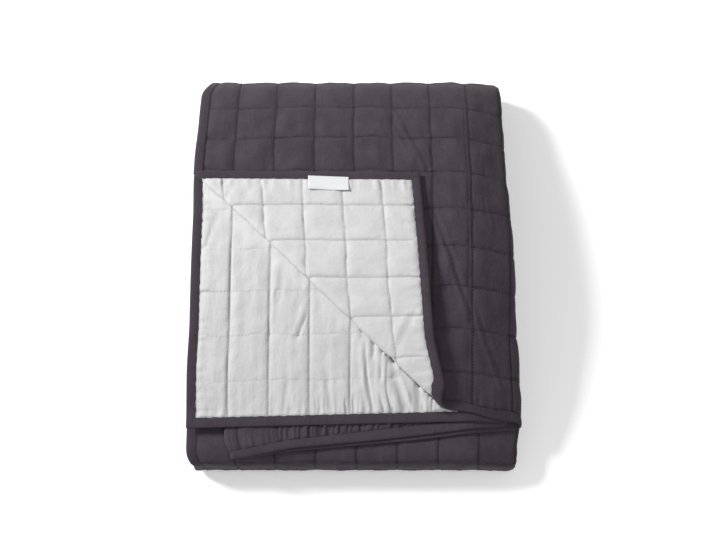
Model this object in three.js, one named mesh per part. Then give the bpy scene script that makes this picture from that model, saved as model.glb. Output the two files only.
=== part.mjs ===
// A quilted bedspread, folded for the shelf. Its width lies in four leaves, the four leaves are wound
// together into a flat pack of five panels, and the front corner of the top leaf is turned back.
// A place on the flat quilt is u across its width, v along its length and n through its thickness,
// with n above zero on the dark face. All sizes are in millimetres.
import * as THREE from "three";

// Flat quilt
const QUILT_WIDTH = 1550;
const QUILT_LENGTH = 2600;
const COLUMNS = 31;
const ROWS = 50;
const COLUMN = QUILT_WIDTH / COLUMNS;
const ROW = QUILT_LENGTH / ROWS;
const BINDING_WIDTH = 12;
const CLEARANCE = 0.3;
const BINDING_GAP = 1.0; // between the binding's inner edge and the cloth, where the stitches draw in
const CLOTH_EDGE = BINDING_WIDTH + BINDING_GAP;

// Thickness of one leaf, from its middle to the face
const CROWN_HALF = 2.4;
const SEAM_HALF = 1.1;
const CORE_HALF = 0.25; // half the room between the two cloths
const BINDING_HALF = 1.7;
const BINDING_NOSE = 0.8;
const LEAF_PITCH = 5.3;
const PANEL_GAP = 1.3;

// Folded pack, measured before it settles
const LEFT_EDGE = -204;
const RIGHT_EDGE = 209;
const PANEL_PITCH = 4 * LEAF_PITCH + PANEL_GAP;
const PACK_HEIGHT = 5 * PANEL_PITCH;
const FRONT_CENTRE = -33; // of the outer front bend; the top leaf's front edge is at 0
const FRONT_RADIUS = 27;
const BACK_END = 475;
const BACK_RADIUS = 34;
const INNER_BACK_RADIUS = 24;
const INNER_FRONT_RADIUS = PANEL_PITCH;
const OUTER_FOLD_RADIUS = 1.5 * LEAF_PITCH;
const INNER_FOLD_RADIUS = 0.5 * LEAF_PITCH;
const INNER_FOLD_SETBACK = 1;

// Settling: how far the top falls towards the front, the back and the right
const CREST = 210;
const FRONT_FALL = { depth: 44, power: 1.8, lip: 0.12, soft: 0.1 };
const BACK_FALL = { depth: 51, power: 2.87, reach: 250 };
const RIGHT_FALL = { depth: 12, from: 146 };
const RIGHT_PULL = { depth: 9, from: 250, over: 150, left: 40, right: 209 };

// Turned-back corner of the top leaf: where its fold meets the front edge and the left edge
const TURN_FRONT = 309;
const TURN_SIDE = 299;
const TURN_RADIUS = { front: 10, side: 3.4, power: 2 };
const TURN_SETTLE = 60;
const TURN_DRAWN = {
  u: { corner: -10, perU: 0.027, perV: 0.03 },
  v: { corner: -8, perU: 0.031, perV: 0.044 },
};
const TURN_STEPS = 4;
const TURN_MARGIN = 7;

// Label on the reverse, at the left edge
const LABEL = { from: 94, length: 53, edge: 9, width: 20, thickness: 0.8 };

const DARK = 0x4d464c;
const LIGHT = 0xdadada;
const WHITE = 0xf2f2f0;

// Lengths along the quilt's width to the end of each leaf and fold
const RIGHT_CENTRE = RIGHT_EDGE - OUTER_FOLD_RADIUS - CROWN_HALF;
const EYE_CENTRE = RIGHT_CENTRE - INNER_FOLD_SETBACK;
const FOLD_LENGTHS = Math.PI * (OUTER_FOLD_RADIUS + 2 * INNER_FOLD_RADIUS);
const TWICE_SHORT_LEAF = QUILT_WIDTH - FOLD_LENGTHS - (RIGHT_CENTRE + EYE_CENTRE - 2 * LEFT_EDGE);
const SHORT_CENTRE = (RIGHT_CENTRE + EYE_CENTRE - TWICE_SHORT_LEAF) / 2;
const U_OUTER = RIGHT_CENTRE - LEFT_EDGE;
const U_LOWEST = U_OUTER + Math.PI * OUTER_FOLD_RADIUS;
const U_SHORT = U_LOWEST + RIGHT_CENTRE - SHORT_CENTRE;
const U_THIRD = U_SHORT + Math.PI * INNER_FOLD_RADIUS;
const U_EYE = U_THIRD + EYE_CENTRE - SHORT_CENTRE;
const U_SECOND = U_EYE + Math.PI * INNER_FOLD_RADIUS;

// How far each leaf's front end reaches past the top leaf's, and where along the length this dies out
const DROOP_SPAN = 75;
const REACH_END = 430;
const FRONT_REACH = [
  { u: 0, reach: 0 },
  { u: U_OUTER, reach: 0 },
  { u: U_LOWEST, reach: 6 },
  { u: U_SHORT - DROOP_SPAN, reach: 50 },
  { u: U_SHORT, reach: 66 },
  { u: U_THIRD, reach: 62 },
  { u: U_THIRD + DROOP_SPAN, reach: 44 },
  { u: U_EYE, reach: 7 },
  { u: U_SECOND, reach: 6 },
  { u: QUILT_WIDTH, reach: 20 },
];

const clamp01 = (value) => Math.min(1, Math.max(0, value));
const smooth = (value) => clamp01(value) ** 2 * (3 - 2 * clamp01(value));

// The section of the four leaves: sideways place, depth below the top leaf, and the dark face's direction.
function leafSection(u) {
  const lowest = 2 * OUTER_FOLD_RADIUS;
  const third = lowest - 2 * INNER_FOLD_RADIUS;
  const second = third - 2 * INNER_FOLD_RADIUS;
  if (u <= U_OUTER) return { x: LEFT_EDGE + u, depth: 0, faceX: 0, faceDepth: -1 };
  if (u <= U_LOWEST) {
    const turn = (u - U_OUTER) / OUTER_FOLD_RADIUS;
    return {
      x: RIGHT_CENTRE + OUTER_FOLD_RADIUS * Math.sin(turn),
      depth: OUTER_FOLD_RADIUS * (1 - Math.cos(turn)),
      faceX: Math.sin(turn),
      faceDepth: -Math.cos(turn),
    };
  }
  if (u <= U_SHORT) return { x: RIGHT_CENTRE - (u - U_LOWEST), depth: lowest, faceX: 0, faceDepth: 1 };
  if (u <= U_THIRD) {
    const turn = (u - U_SHORT) / INNER_FOLD_RADIUS;
    return {
      x: SHORT_CENTRE - INNER_FOLD_RADIUS * Math.sin(turn),
      depth: lowest - INNER_FOLD_RADIUS * (1 - Math.cos(turn)),
      faceX: -Math.sin(turn),
      faceDepth: Math.cos(turn),
    };
  }
  if (u <= U_EYE) return { x: SHORT_CENTRE + u - U_THIRD, depth: third, faceX: 0, faceDepth: -1 };
  if (u <= U_SECOND) {
    const turn = (u - U_EYE) / INNER_FOLD_RADIUS;
    return {
      x: EYE_CENTRE + INNER_FOLD_RADIUS * Math.sin(turn),
      depth: third - INNER_FOLD_RADIUS * (1 - Math.cos(turn)),
      faceX: -Math.sin(turn),
      faceDepth: -Math.cos(turn),
    };
  }
  return { x: EYE_CENTRE - (u - U_SECOND), depth: second, faceX: 0, faceDepth: 1 };
}

// The winding of the pack, from the front edge of the top leaf: straight runs and round bends.
// A bend turns about its centre. Its angle is 0 pointing up and a quarter turn pointing to the back.
function windingRows() {
  const back = BACK_END - BACK_RADIUS;
  const innerBack = BACK_END - PANEL_PITCH - INNER_BACK_RADIUS;
  const innerFront = FRONT_CENTRE - FRONT_RADIUS + PANEL_PITCH + INNER_FRONT_RADIUS;
  const third = PACK_HEIGHT - PANEL_PITCH;
  const quarter = Math.PI / 2;
  return [
    { name: "top", y: 0, z: PACK_HEIGHT, toY: back },
    { name: "back", bend: 0, y: back, z: PACK_HEIGHT - BACK_RADIUS, radius: BACK_RADIUS },
    { name: "back wall", wall: quarter, y: BACK_END, z: PACK_HEIGHT - BACK_RADIUS, toZ: BACK_RADIUS },
    { name: "back", bend: quarter, y: back, z: BACK_RADIUS, radius: BACK_RADIUS },
    { name: "bottom", y: back, z: 0, toY: FRONT_CENTRE },
    { name: "front", bend: 2 * quarter, y: FRONT_CENTRE, z: FRONT_RADIUS, radius: FRONT_RADIUS },
    {
      name: "front wall",
      wall: 3 * quarter,
      y: FRONT_CENTRE - FRONT_RADIUS,
      z: FRONT_RADIUS,
      toZ: third - FRONT_RADIUS,
    },
    { name: "front", bend: 3 * quarter, y: FRONT_CENTRE, z: third - FRONT_RADIUS, radius: FRONT_RADIUS },
    { name: "third", y: FRONT_CENTRE, z: third, toY: innerBack },
    { name: "inner back", bend: 0, y: innerBack, z: third - INNER_BACK_RADIUS, radius: INNER_BACK_RADIUS },
    {
      name: "inner back wall",
      wall: quarter,
      y: innerBack + INNER_BACK_RADIUS,
      z: third - INNER_BACK_RADIUS,
      toZ: PANEL_PITCH + INNER_BACK_RADIUS,
    },
    {
      name: "inner back",
      bend: quarter,
      y: innerBack,
      z: PANEL_PITCH + INNER_BACK_RADIUS,
      radius: INNER_BACK_RADIUS,
    },
    { name: "fourth", y: innerBack, z: PANEL_PITCH, toY: innerFront },
    {
      name: "inner front",
      bend: 2 * quarter,
      turn: 2 * quarter,
      y: innerFront,
      z: 2 * PANEL_PITCH,
      radius: INNER_FRONT_RADIUS,
    },
    { name: "fifth", y: innerFront, z: 3 * PANEL_PITCH, toY: QUILT_LENGTH },
  ];
}

// Gives each run its start and length along the middle of the top leaf.
function measuredWinding() {
  let start = 0;
  return windingRows().map((row) => {
    const turn = row.turn ?? Math.PI / 2;
    let length = row.bend !== undefined ? turn * (row.radius - CROWN_HALF) : Math.abs(row.toY - row.y);
    if (row.wall !== undefined) length = Math.abs(row.toZ - row.z);
    const measured = { ...row, start, length };
    start += length;
    return measured;
  });
}

const WINDING = measuredWinding();
const panel = (name) => WINDING.find((row) => row.name === name);

// The point at a depth below the top leaf's middle, a distance along the winding.
function windingPoint(along, depth) {
  const inset = CROWN_HALF + depth;
  if (along < FRONT_CENTRE) {
    const radius = FRONT_RADIUS + PANEL_PITCH;
    const angle = (FRONT_CENTRE - along) / (radius - CROWN_HALF);
    const reach = radius - inset;
    return {
      y: FRONT_CENTRE - reach * Math.sin(angle),
      z: PACK_HEIGHT - radius + reach * Math.cos(angle),
    };
  }
  const row = WINDING.findLast((candidate) => candidate.start <= along) ?? WINDING[0];
  const share = (along - row.start) / row.length;
  if (row.bend !== undefined) {
    const angle = row.bend + share * (row.turn ?? Math.PI / 2);
    const reach = row.radius - inset;
    return { y: row.y + reach * Math.sin(angle), z: row.z + reach * Math.cos(angle) };
  }
  if (row.wall !== undefined) {
    const inward = -Math.sin(row.wall);
    return { y: row.y + inward * inset, z: row.z + share * (row.toZ - row.z) };
  }
  const downward = row.toY > row.y ? -1 : 1;
  return { y: row.y + share * (row.toY - row.y), z: row.z + downward * inset };
}

// How far a leaf's front end reaches past the top leaf's.
function frontReach(u, v) {
  const next = FRONT_REACH.findIndex((row) => row.u >= u);
  if (next < 1) return 0;
  const before = FRONT_REACH[next - 1];
  const after = FRONT_REACH[next];
  const share = (u - before.u) / (after.u - before.u);
  return (before.reach + share * (after.reach - before.reach)) * clamp01(1 - v / REACH_END);
}

// The corner's fold line: distance from it towards the corner, and the radius of the fold there.
const TURN_SCALE = 1 / Math.hypot(1 / TURN_FRONT, 1 / TURN_SIDE);
const turnDistance = (u, v) => TURN_SCALE * (1 - u / TURN_FRONT - v / TURN_SIDE);
function turnRadius(v) {
  const share = clamp01(1 - v / TURN_SIDE) ** TURN_RADIUS.power;
  return TURN_RADIUS.side + share * (TURN_RADIUS.front - TURN_RADIUS.side);
}

// Places along a line across the corner where the fold has turned through an angle.
const turnU = (angle, v) =>
  TURN_FRONT * (1 - v / TURN_SIDE - (turnRadius(v) * (angle - Math.PI / 2)) / TURN_SCALE);
const turnV = (angle, u) =>
  TURN_SIDE * (1 - u / TURN_FRONT - (TURN_RADIUS.side * (angle - Math.PI / 2)) / TURN_SCALE);

// A place on the turned corner: where it lies over the top leaf and how high above its middle.
function turnedCorner(u, v, n) {
  const radius = turnRadius(v);
  const distance = turnDistance(u, v);
  const start = (-Math.PI * radius) / 2;
  const angle = (distance - start) / radius;
  let across = start + (radius - n) * Math.sin(angle);
  let height = radius - (radius - n) * Math.cos(angle);
  if (angle >= Math.PI) {
    across = -distance;
    const fade = Math.exp((-start - distance) / TURN_SETTLE);
    height = LEAF_PITCH + (2 * radius - LEAF_PITCH) * fade - n;
  }
  const move = (distance - across) * TURN_SCALE;
  const share = clamp01(angle / Math.PI);
  const drawn = ({ corner, perU, perV }) => share * (corner + perU * u + perV * v);
  return {
    u: u + move / TURN_FRONT + drawn(TURN_DRAWN.u),
    v: v + move / TURN_SIDE + drawn(TURN_DRAWN.v),
    height,
  };
}

// The settled pack: its top falls to the front, back and right, and its right side draws in at the back.
function settle(x, y, z) {
  const forward = (CREST - y) / CREST;
  const past = Math.max(0, forward - 1);
  const lip = FRONT_FALL.lip * (1 - Math.exp(-past / FRONT_FALL.soft));
  const front = FRONT_FALL.depth * (clamp01(forward) ** FRONT_FALL.power + lip);
  const back = BACK_FALL.depth * Math.max(0, (y - CREST) / BACK_FALL.reach) ** BACK_FALL.power;
  const right = RIGHT_FALL.depth * clamp01((x - RIGHT_FALL.from) / (RIGHT_EDGE - RIGHT_FALL.from));
  const rise = 1 - (front + back + right) / PACK_HEIGHT;
  const drawn = smooth((y - RIGHT_PULL.from) / RIGHT_PULL.over);
  const share = smooth((x - RIGHT_PULL.left) / (RIGHT_PULL.right - RIGHT_PULL.left));
  return new THREE.Vector3(x - RIGHT_PULL.depth * drawn * share, y, z * rise);
}

// The folded place of a point of the flat quilt.
function folded(u, v, n) {
  const onTopLeaf = u <= U_OUTER && v < TURN_SIDE + ROW;
  if (onTopLeaf && turnDistance(u, v) > (-Math.PI * turnRadius(v)) / 2) {
    const turned = turnedCorner(u, v, n);
    const lying = windingPoint(turned.v, -turned.height);
    return settle(LEFT_EDGE + turned.u, lying.y, lying.z);
  }
  const section = leafSection(u);
  const point = windingPoint(v - frontReach(u, v), section.depth + n * section.faceDepth);
  return settle(section.x + n * section.faceX, point.y, point.z);
}

// Share of the crown's height at a place across one quilted square: none at its seams.
function crownShare(place, pitch, total) {
  const cell = Math.floor(place / pitch + 1e-6);
  const low = Math.max(cell * pitch, BINDING_WIDTH);
  const high = Math.min((cell + 1) * pitch, total - BINDING_WIDTH);
  return Math.sin(Math.PI * clamp01((place - low) / (high - low)));
}
const puffed = (shareU, shareV) => SEAM_HALF + (CROWN_HALF - SEAM_HALF) * shareU * shareV;
const crownU = (u) => crownShare(u, COLUMN, QUILT_WIDTH);
const crownV = (v) => crownShare(v, ROW, QUILT_LENGTH);

// Stations across the width. Each has its place u and a key that orders it beside the next row's stations.
const evenly = (from, to, steps) =>
  Array.from({ length: steps + 1 }, (_, i) => from + ((to - from) * i) / steps);
const station = (u) => ({ u, key: u });
const multiples = (from, to, step) => {
  const first = Math.ceil(from / step);
  const last = Math.floor(to / step);
  return Array.from({ length: Math.max(0, last - first + 1) }, (_, i) => (first + i) * step);
};
const FIRST_CROWN = (CLOTH_EDGE + COLUMN) / 2;
const columnStops = (fine) => {
  const stops = multiples(COLUMN, U_OUTER - COLUMN / 2, fine ? COLUMN / 2 : COLUMN);
  return fine ? [CLOTH_EDGE, FIRST_CROWN, ...stops] : [CLOTH_EDGE, ...stops];
};
const RIGHT_CREASE = RIGHT_FALL.from - LEFT_EDGE;
const FRONT_END = 1.2 * ROW; // rows before this lie on the front ends of the leaves

// Stations of the folds and of the three leaves under the top one, closer together along the front ends.
function lowerStops(fineSecond, v) {
  const frontEnd = v < FRONT_END;
  const drawnForward = v < REACH_END;
  const columns = columnStops(fineSecond).filter((stop) => QUILT_WIDTH - stop > U_SECOND + COLUMN / 4);
  const second = fineSecond || frontEnd ? columns : [RIGHT_CREASE, CLOTH_EDGE];
  const creaseLow = U_LOWEST + RIGHT_CENTRE - RIGHT_FALL.from;
  const creaseThird = U_THIRD + RIGHT_FALL.from - SHORT_CENTRE;
  const steps = frontEnd ? 4 : 1;
  const lowest = drawnForward ? evenly(creaseLow, U_SHORT - DROOP_SPAN, steps) : [creaseLow];
  const third = drawnForward ? evenly(U_THIRD + DROOP_SPAN, creaseThird, steps) : [creaseThird];
  return [
    ...evenly(U_OUTER, U_LOWEST, 4),
    ...lowest,
    ...evenly(U_SHORT, U_THIRD, 3),
    ...third,
    ...evenly(U_EYE, U_SECOND, 2),
    ...second.map((stop) => QUILT_WIDTH - stop).sort((a, b) => a - b),
  ].map(station);
}

// One row of stations across the quilt at v. Its anchors part the turned corner, the fold and the rest.
function quiltRow(v, detail, tipAngle) {
  const lower = lowerStops(detail.second, v);
  const crossesTurn = tipAngle !== undefined || turnU(Math.PI, v) > CLOTH_EDGE;
  if (!crossesTurn) {
    const top = detail.top ? columnStops(true) : [CLOTH_EDGE, RIGHT_CREASE];
    const stations = [...top.map(station), ...lower];
    return { v, stations, anchors: [0, 0, 0, stations.length - 1] };
  }
  const fromAngle = tipAngle ?? Math.PI;
  const steps = Math.round((fromAngle / Math.PI) * TURN_STEPS);
  const angles = evenly(fromAngle, 0, Math.max(1, steps)).slice(0, steps + 1);
  const turn = angles.map((angle, i) => ({
    u: tipAngle !== undefined && i === 0 ? CLOTH_EDGE : turnU(angle, v),
    key: -angle,
  }));
  const flapEnd = turn[0].u - TURN_MARGIN;
  const flap = tipAngle === undefined ? columnStops(detail.flap).filter((u) => u < flapEnd) : [];
  const restStart = turn.at(-1).u + TURN_MARGIN;
  const rest = (detail.top ? columnStops(true) : [RIGHT_CREASE]).filter((u) => u > restStart);
  const stations = [...flap.map(station), ...turn, ...rest.map(station), ...lower];
  const fold = flap.length;
  return { v, stations, anchors: [0, fold, fold + turn.length - 1, stations.length - 1] };
}

// Rows along the length: the top panel by half rows, the outer bends by third rows, the rest sparsely.
const FIFTH_END = panel("fifth").y + QUILT_LENGTH - panel("fifth").start;
const PANEL_STOPS = [20, 120, 240, FIFTH_END, 400];
const LIP_STOPS = [-16, 0]; // under the front ends of the top panel
const TOP_END = panel("top").length;
const BACK_SPAN = { from: TOP_END, to: panel("bottom").start };
const FRONT_SPAN = { from: panel("front").start, to: panel("third").start };
const TIP_ANGLES = evenly(Math.PI, 0, TURN_STEPS);
const TIP_MARGIN = ROW / 6; // between the turned corner's tip and the nearest plain row
const LIP_ROWS = [CLOTH_EDGE, 22, 32, 42]; // close rows along the drooping front ends

function rowsAlong(name, stops) {
  const row = panel(name);
  const way = Math.sign(row.toY - row.y);
  const places = stops.map((y) => row.start + way * (y - row.y));
  return places.filter((v) => v < QUILT_LENGTH - ROW).sort((a, b) => a - b);
}

function bendRows(span, step) {
  const inside = multiples(span.from + step / 3, span.to - step / 3, step);
  return [span.from, ...inside, span.to];
}

function quiltRows(kind) {
  const outer = kind !== "core";
  const tipStart = turnV(Math.PI, CLOTH_EDGE);
  const tipEnd = turnV(0, CLOTH_EDGE);
  const step = outer ? ROW / 2 : ROW;
  const top = [...LIP_ROWS, ...multiples(ROW, TOP_END - step / 2, step)];
  const clearOfTip = (v) => v < tipStart - TIP_MARGIN || v > tipEnd + TIP_MARGIN;
  const detail = (v) => ({
    top: kind === "face",
    flap: outer,
    second: kind === "reverse" && v < TURN_SIDE,
  });
  const plain = { top: false, flap: false, second: false };
  const wrapped = { ...plain, top: kind === "face" };
  const rows = top.filter(clearOfTip).map((v) => quiltRow(v, detail(v)));
  const tips = TIP_ANGLES.map((angle) => quiltRow(turnV(angle, CLOTH_EDGE), detail(0), angle));
  const innerBack = WINDING.filter((row) => row.name.startsWith("inner back"));
  const innerFront = panel("inner front");
  const backEnd = panel("fourth").start;
  const hidden = [
    ...rowsAlong("third", [...LIP_STOPS, ...PANEL_STOPS]),
    ...evenly(innerBack[0].start, backEnd, 5),
    ...rowsAlong("fourth", PANEL_STOPS),
    ...evenly(innerFront.start, panel("fifth").start, 4),
    ...rowsAlong("fifth", PANEL_STOPS),
    QUILT_LENGTH - CLOTH_EDGE,
  ];
  return [
    ...rows,
    ...tips,
    ...bendRows(BACK_SPAN, ROW / 3).map((v) => quiltRow(v, wrapped)),
    ...rowsAlong("bottom", PANEL_STOPS).map((v) => quiltRow(v, plain)),
    ...bendRows(FRONT_SPAN, ROW / 3).map((v) => quiltRow(v, wrapped)),
    ...hidden.map((v) => quiltRow(v, plain)),
  ].sort((a, b) => a.v - b.v);
}

// Half thickness at a station of a cloth: puffed where its squares show, full where it is pressed flat.
function facing(kind, u, v) {
  const onBends = v > TOP_END && v < FRONT_SPAN.to && (v < BACK_SPAN.to || v > FRONT_SPAN.from);
  const onTopPanel = v <= TOP_END;
  if (kind === "face" && u < U_OUTER && (onTopPanel || onBends)) return puffed(crownU(u), crownV(v));
  if (kind === "face" && u <= U_LOWEST && (onTopPanel || onBends)) return puffed(1, crownV(v));
  if (kind === "reverse" && onTopPanel && (u > U_SECOND || turnDistance(u, v) > 0)) {
    return puffed(crownU(u), crownV(v));
  }
  return CROWN_HALF;
}

// A closed shell gathers points and triangles.
class Shell {
  constructor() {
    this.points = [];
    this.triangles = [];
  }

  add(point) {
    this.points.push(point.x, point.y, point.z);
    return this.points.length / 3 - 1;
  }

  // Triangles between two lists of keyed points that run the same way, the second on the left.
  zip(near, far) {
    let i = 0;
    let j = 0;
    while (i < near.length - 1 || j < far.length - 1) {
      const nearNext = i < near.length - 1 ? near[i + 1].key : Infinity;
      const farNext = j < far.length - 1 ? far[j + 1].key : Infinity;
      if (nearNext <= farNext) {
        this.triangles.push(near[i].id, near[i + 1].id, far[j].id);
        i += 1;
      } else {
        this.triangles.push(near[i].id, far[j + 1].id, far[j].id);
        j += 1;
      }
    }
  }

  geometry() {
    const geometry = new THREE.BufferGeometry();
    geometry.setAttribute("position", new THREE.Float32BufferAttribute(this.points, 3));
    geometry.setIndex(this.triangles);
    geometry.computeVertexNormals();
    return geometry;
  }
}

// Adds a skin of rows at a height through the thickness, and gives back its rows of points.
function addSkin(shell, rows, heightAt, upward) {
  const laid = rows.map((row) =>
    row.stations.map(({ u, key }) => ({
      id: shell.add(folded(u, row.v, heightAt(u, row.v))),
      key,
      u,
      v: row.v,
    })),
  );
  for (let r = 0; r + 1 < rows.length; r += 1) {
    for (let part = 0; part < 3; part += 1) {
      const near = laid[r].slice(rows[r].anchors[part], rows[r].anchors[part + 1] + 1);
      const far = laid[r + 1].slice(rows[r + 1].anchors[part], rows[r + 1].anchors[part + 1] + 1);
      if (upward) shell.zip(near, far);
      else shell.zip(far, near);
    }
  }
  return laid;
}

// One cloth of the quilt as a closed sheet between its outer skin and the padding's middle.
function clothGeometry(kind) {
  const side = kind === "face" ? 1 : -1;
  const shell = new Shell();
  const outer = addSkin(shell, quiltRows(kind), (u, v) => side * facing(kind, u, v), side > 0);
  const core = addSkin(shell, quiltRows("core"), () => side * CORE_HALF, side < 0);
  const upper = side > 0 ? outer : core;
  const under = side > 0 ? core : outer;
  const across = (row) => row.map(({ id, u }) => ({ id, key: u }));
  const along = (rows, pick) => rows.map((row) => ({ id: pick(row).id, key: pick(row).v }));
  const first = (row) => row[0];
  const last = (row) => row.at(-1);
  shell.zip(across(under[0]), across(upper[0]));
  shell.zip(across(upper.at(-1)), across(under.at(-1)));
  shell.zip(along(upper, first), along(under, first));
  shell.zip(along(under, last), along(upper, last));
  return shell.geometry();
}

// Pairs of flat places round the quilt's edge: on the edge itself and a binding's width inside it.
function bindingPairs() {
  const inner = BINDING_WIDTH;
  const farU = QUILT_WIDTH - inner;
  const farV = QUILT_LENGTH - inner;
  const rows = quiltRows("face").map((row) => row.v);
  const turnFrom = turnV(Math.PI, inner) - TIP_MARGIN;
  const turnTo = turnV(0, 0) + TIP_MARGIN;
  const inside = (v) => v > inner + 1 && v < farV - 1;
  const leftRows = rows.filter((v) => inside(v) && (v < turnFrom || v > turnTo));
  const frontRow = quiltRow(inner, { top: true, flap: true, second: true });
  const [, fold, rest] = frontRow.anchors;
  const frontU = frontRow.stations.map(({ u }) => u);
  const frontPair = (u) => ({ edge: [u, 0], inset: [u, inner] });
  const backU = quiltRow(farV, {}).stations.map(({ u }) => u);
  const between = (u) => u > inner + 1 && u < farU - 1;
  return [
    { edge: [0, 0], inset: [inner, inner] },
    ...frontU.slice(0, fold).filter(between).map(frontPair),
    ...TIP_ANGLES.map((angle) => ({ edge: [turnU(angle, 0), 0], inset: [turnU(angle, inner), inner] })),
    ...frontU.slice(rest + 1).filter(between).map(frontPair),
    { edge: [QUILT_WIDTH, 0], inset: [farU, inner] },
    ...rows.filter(inside).map((v) => ({ edge: [QUILT_WIDTH, v], inset: [farU, v] })),
    { edge: [QUILT_WIDTH, QUILT_LENGTH], inset: [farU, farV] },
    ...backU.filter(between).reverse().map((u) => ({ edge: [u, QUILT_LENGTH], inset: [u, farV] })),
    { edge: [0, QUILT_LENGTH], inset: [inner, farV] },
    ...leftRows.filter((v) => v > turnTo).reverse().map((v) => ({ edge: [0, v], inset: [inner, v] })),
    ...[...TIP_ANGLES].reverse().map((angle) => ({
      edge: [0, turnV(angle, 0)],
      inset: [inner, turnV(angle, inner)],
    })),
    ...leftRows.filter((v) => v < turnFrom).reverse().map((v) => ({ edge: [0, v], inset: [inner, v] })),
  ];
}

// The binding: a strip folded over the edge all the way round, with a round nose.
function bindingGeometry() {
  const shell = new Shell();
  const nose = BINDING_NOSE / BINDING_WIDTH;
  const section = [
    { share: 1, n: BINDING_HALF },
    { share: nose, n: BINDING_HALF },
    { share: 0, n: 0 },
    { share: nose, n: -BINDING_HALF },
    { share: 1, n: -BINDING_HALF },
  ];
  const rings = bindingPairs().map(({ edge, inset }) =>
    section.map(({ share, n }) => {
      const u = edge[0] + share * (inset[0] - edge[0]);
      const v = edge[1] + share * (inset[1] - edge[1]);
      return shell.add(folded(u, v, n));
    }),
  );
  rings.forEach((ring, r) => {
    const next = rings[(r + 1) % rings.length];
    ring.forEach((id, k) => {
      const after = (k + 1) % ring.length;
      shell.triangles.push(id, ring[after], next[after]);
      shell.triangles.push(id, next[after], next[k]);
    });
  });
  return shell.geometry();
}

// The blank label, lying on the reverse of the turned corner.
function labelGeometry() {
  const shell = new Shell();
  const under = -(CROWN_HALF + CLEARANCE);
  const over = under - LABEL.thickness;
  const rows = evenly(LABEL.from, LABEL.from + LABEL.length, 4).map((v) => ({
    v,
    stations: evenly(LABEL.edge, LABEL.edge + LABEL.width, 2).map(station),
    anchors: [0, 0, 0, 2],
  }));
  const upper = addSkin(shell, rows, () => under, true);
  const lower = addSkin(shell, rows, () => over, false);
  const along = (skin, pick) => skin.map((row) => ({ id: pick(row).id, key: pick(row).v }));
  const first = (row) => row[0];
  const last = (row) => row.at(-1);
  shell.zip(lower[0], upper[0]);
  shell.zip(upper.at(-1), lower.at(-1));
  shell.zip(along(upper, first), along(lower, first));
  shell.zip(along(lower, last), along(upper, last));
  return shell.geometry();
}

function cloth(name, geometry, color, roughness) {
  const material = new THREE.MeshStandardMaterial({ color, roughness, metalness: 0 });
  const mesh = new THREE.Mesh(geometry, material);
  mesh.name = name;
  return mesh;
}

const bedspread = new THREE.Group();
bedspread.add(cloth("face_cloth", clothGeometry("face"), DARK, 0.9));
bedspread.add(cloth("reverse_cloth", clothGeometry("reverse"), LIGHT, 0.9));
bedspread.add(cloth("binding", bindingGeometry(), DARK, 0.85));
bedspread.add(cloth("label", labelGeometry(), WHITE, 0.7));

// The origin is under the middle of the pack, on the surface that it lies on.
const box = new THREE.Box3().setFromObject(bedspread);
const middle = box.getCenter(new THREE.Vector3());
bedspread.position.set(-middle.x, -middle.y, -box.min.z);

export default bedspread;
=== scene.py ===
"""Dresses the folded quilted bedspread: puffed squares, puckered seams, bound edges, label and stitching.

A place on the flat quilt is u across its width, v along its length and n through its thickness, in
millimetres, with n above zero on the dark face. Finished meshes are in metres, in the part's frame.
"""

import logging
import math
from dataclasses import dataclass, field, fields, replace
from enum import Enum, IntEnum
from typing import Any, Sequence

import bpy
import numpy as np
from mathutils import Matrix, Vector

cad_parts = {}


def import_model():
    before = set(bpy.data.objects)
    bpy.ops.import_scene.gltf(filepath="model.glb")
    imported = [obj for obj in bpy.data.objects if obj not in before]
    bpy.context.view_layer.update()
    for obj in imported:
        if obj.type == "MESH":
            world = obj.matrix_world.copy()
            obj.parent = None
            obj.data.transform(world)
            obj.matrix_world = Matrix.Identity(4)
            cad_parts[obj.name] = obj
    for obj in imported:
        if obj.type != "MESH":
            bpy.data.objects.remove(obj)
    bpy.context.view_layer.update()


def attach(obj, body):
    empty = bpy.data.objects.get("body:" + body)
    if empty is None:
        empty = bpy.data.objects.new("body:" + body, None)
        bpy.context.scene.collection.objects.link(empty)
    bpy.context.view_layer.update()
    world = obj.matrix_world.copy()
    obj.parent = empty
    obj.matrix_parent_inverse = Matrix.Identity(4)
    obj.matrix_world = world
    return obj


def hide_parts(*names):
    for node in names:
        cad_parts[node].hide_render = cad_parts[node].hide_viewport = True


LOG = logging.getLogger("bedspread")
Array = np.ndarray
Colour = tuple[float, float, float]
Place = tuple[float, float, float]
PHOTO_SIZE = (716, 540)
METRES = 0.001
SMALL = 1e-6
BODY = "root"
UV_MAP = "flat"
WHITE = (1.0, 1.0, 1.0, 1.0)
# Numbers of a Mix node's sockets for colours, the last an output.
MIX_SHARE, MIX_LOW, MIX_HIGH, MIX_COLOUR = 0, 6, 7, 2


class Side(Enum):
    """The two cloths of the quilt, by the way their outer skin faces through the thickness."""

    FACE = 1
    REVERSE = -1


class RunKind(Enum):
    """The three kinds of run that the wound pack is made of."""

    LEVEL = "level"
    WALL = "wall"
    BEND = "bend"


class Stretch(IntEnum):
    """The runs of the wound pack, in order from the front edge of the top leaf."""

    TOP = 0
    BACK_UPPER = 1
    BACK_WALL = 2
    BACK_LOWER = 3
    UNDERSIDE = 4
    FRONT_LOWER = 5
    FRONT_WALL = 6
    FRONT_UPPER = 7
    UNDER_TOP = 8
    INNER_BACK_UPPER = 9
    INNER_BACK_WALL = 10
    INNER_BACK_LOWER = 11
    OVER_UNDERSIDE = 12
    INNER_FRONT = 13
    INSIDE = 14


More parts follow.
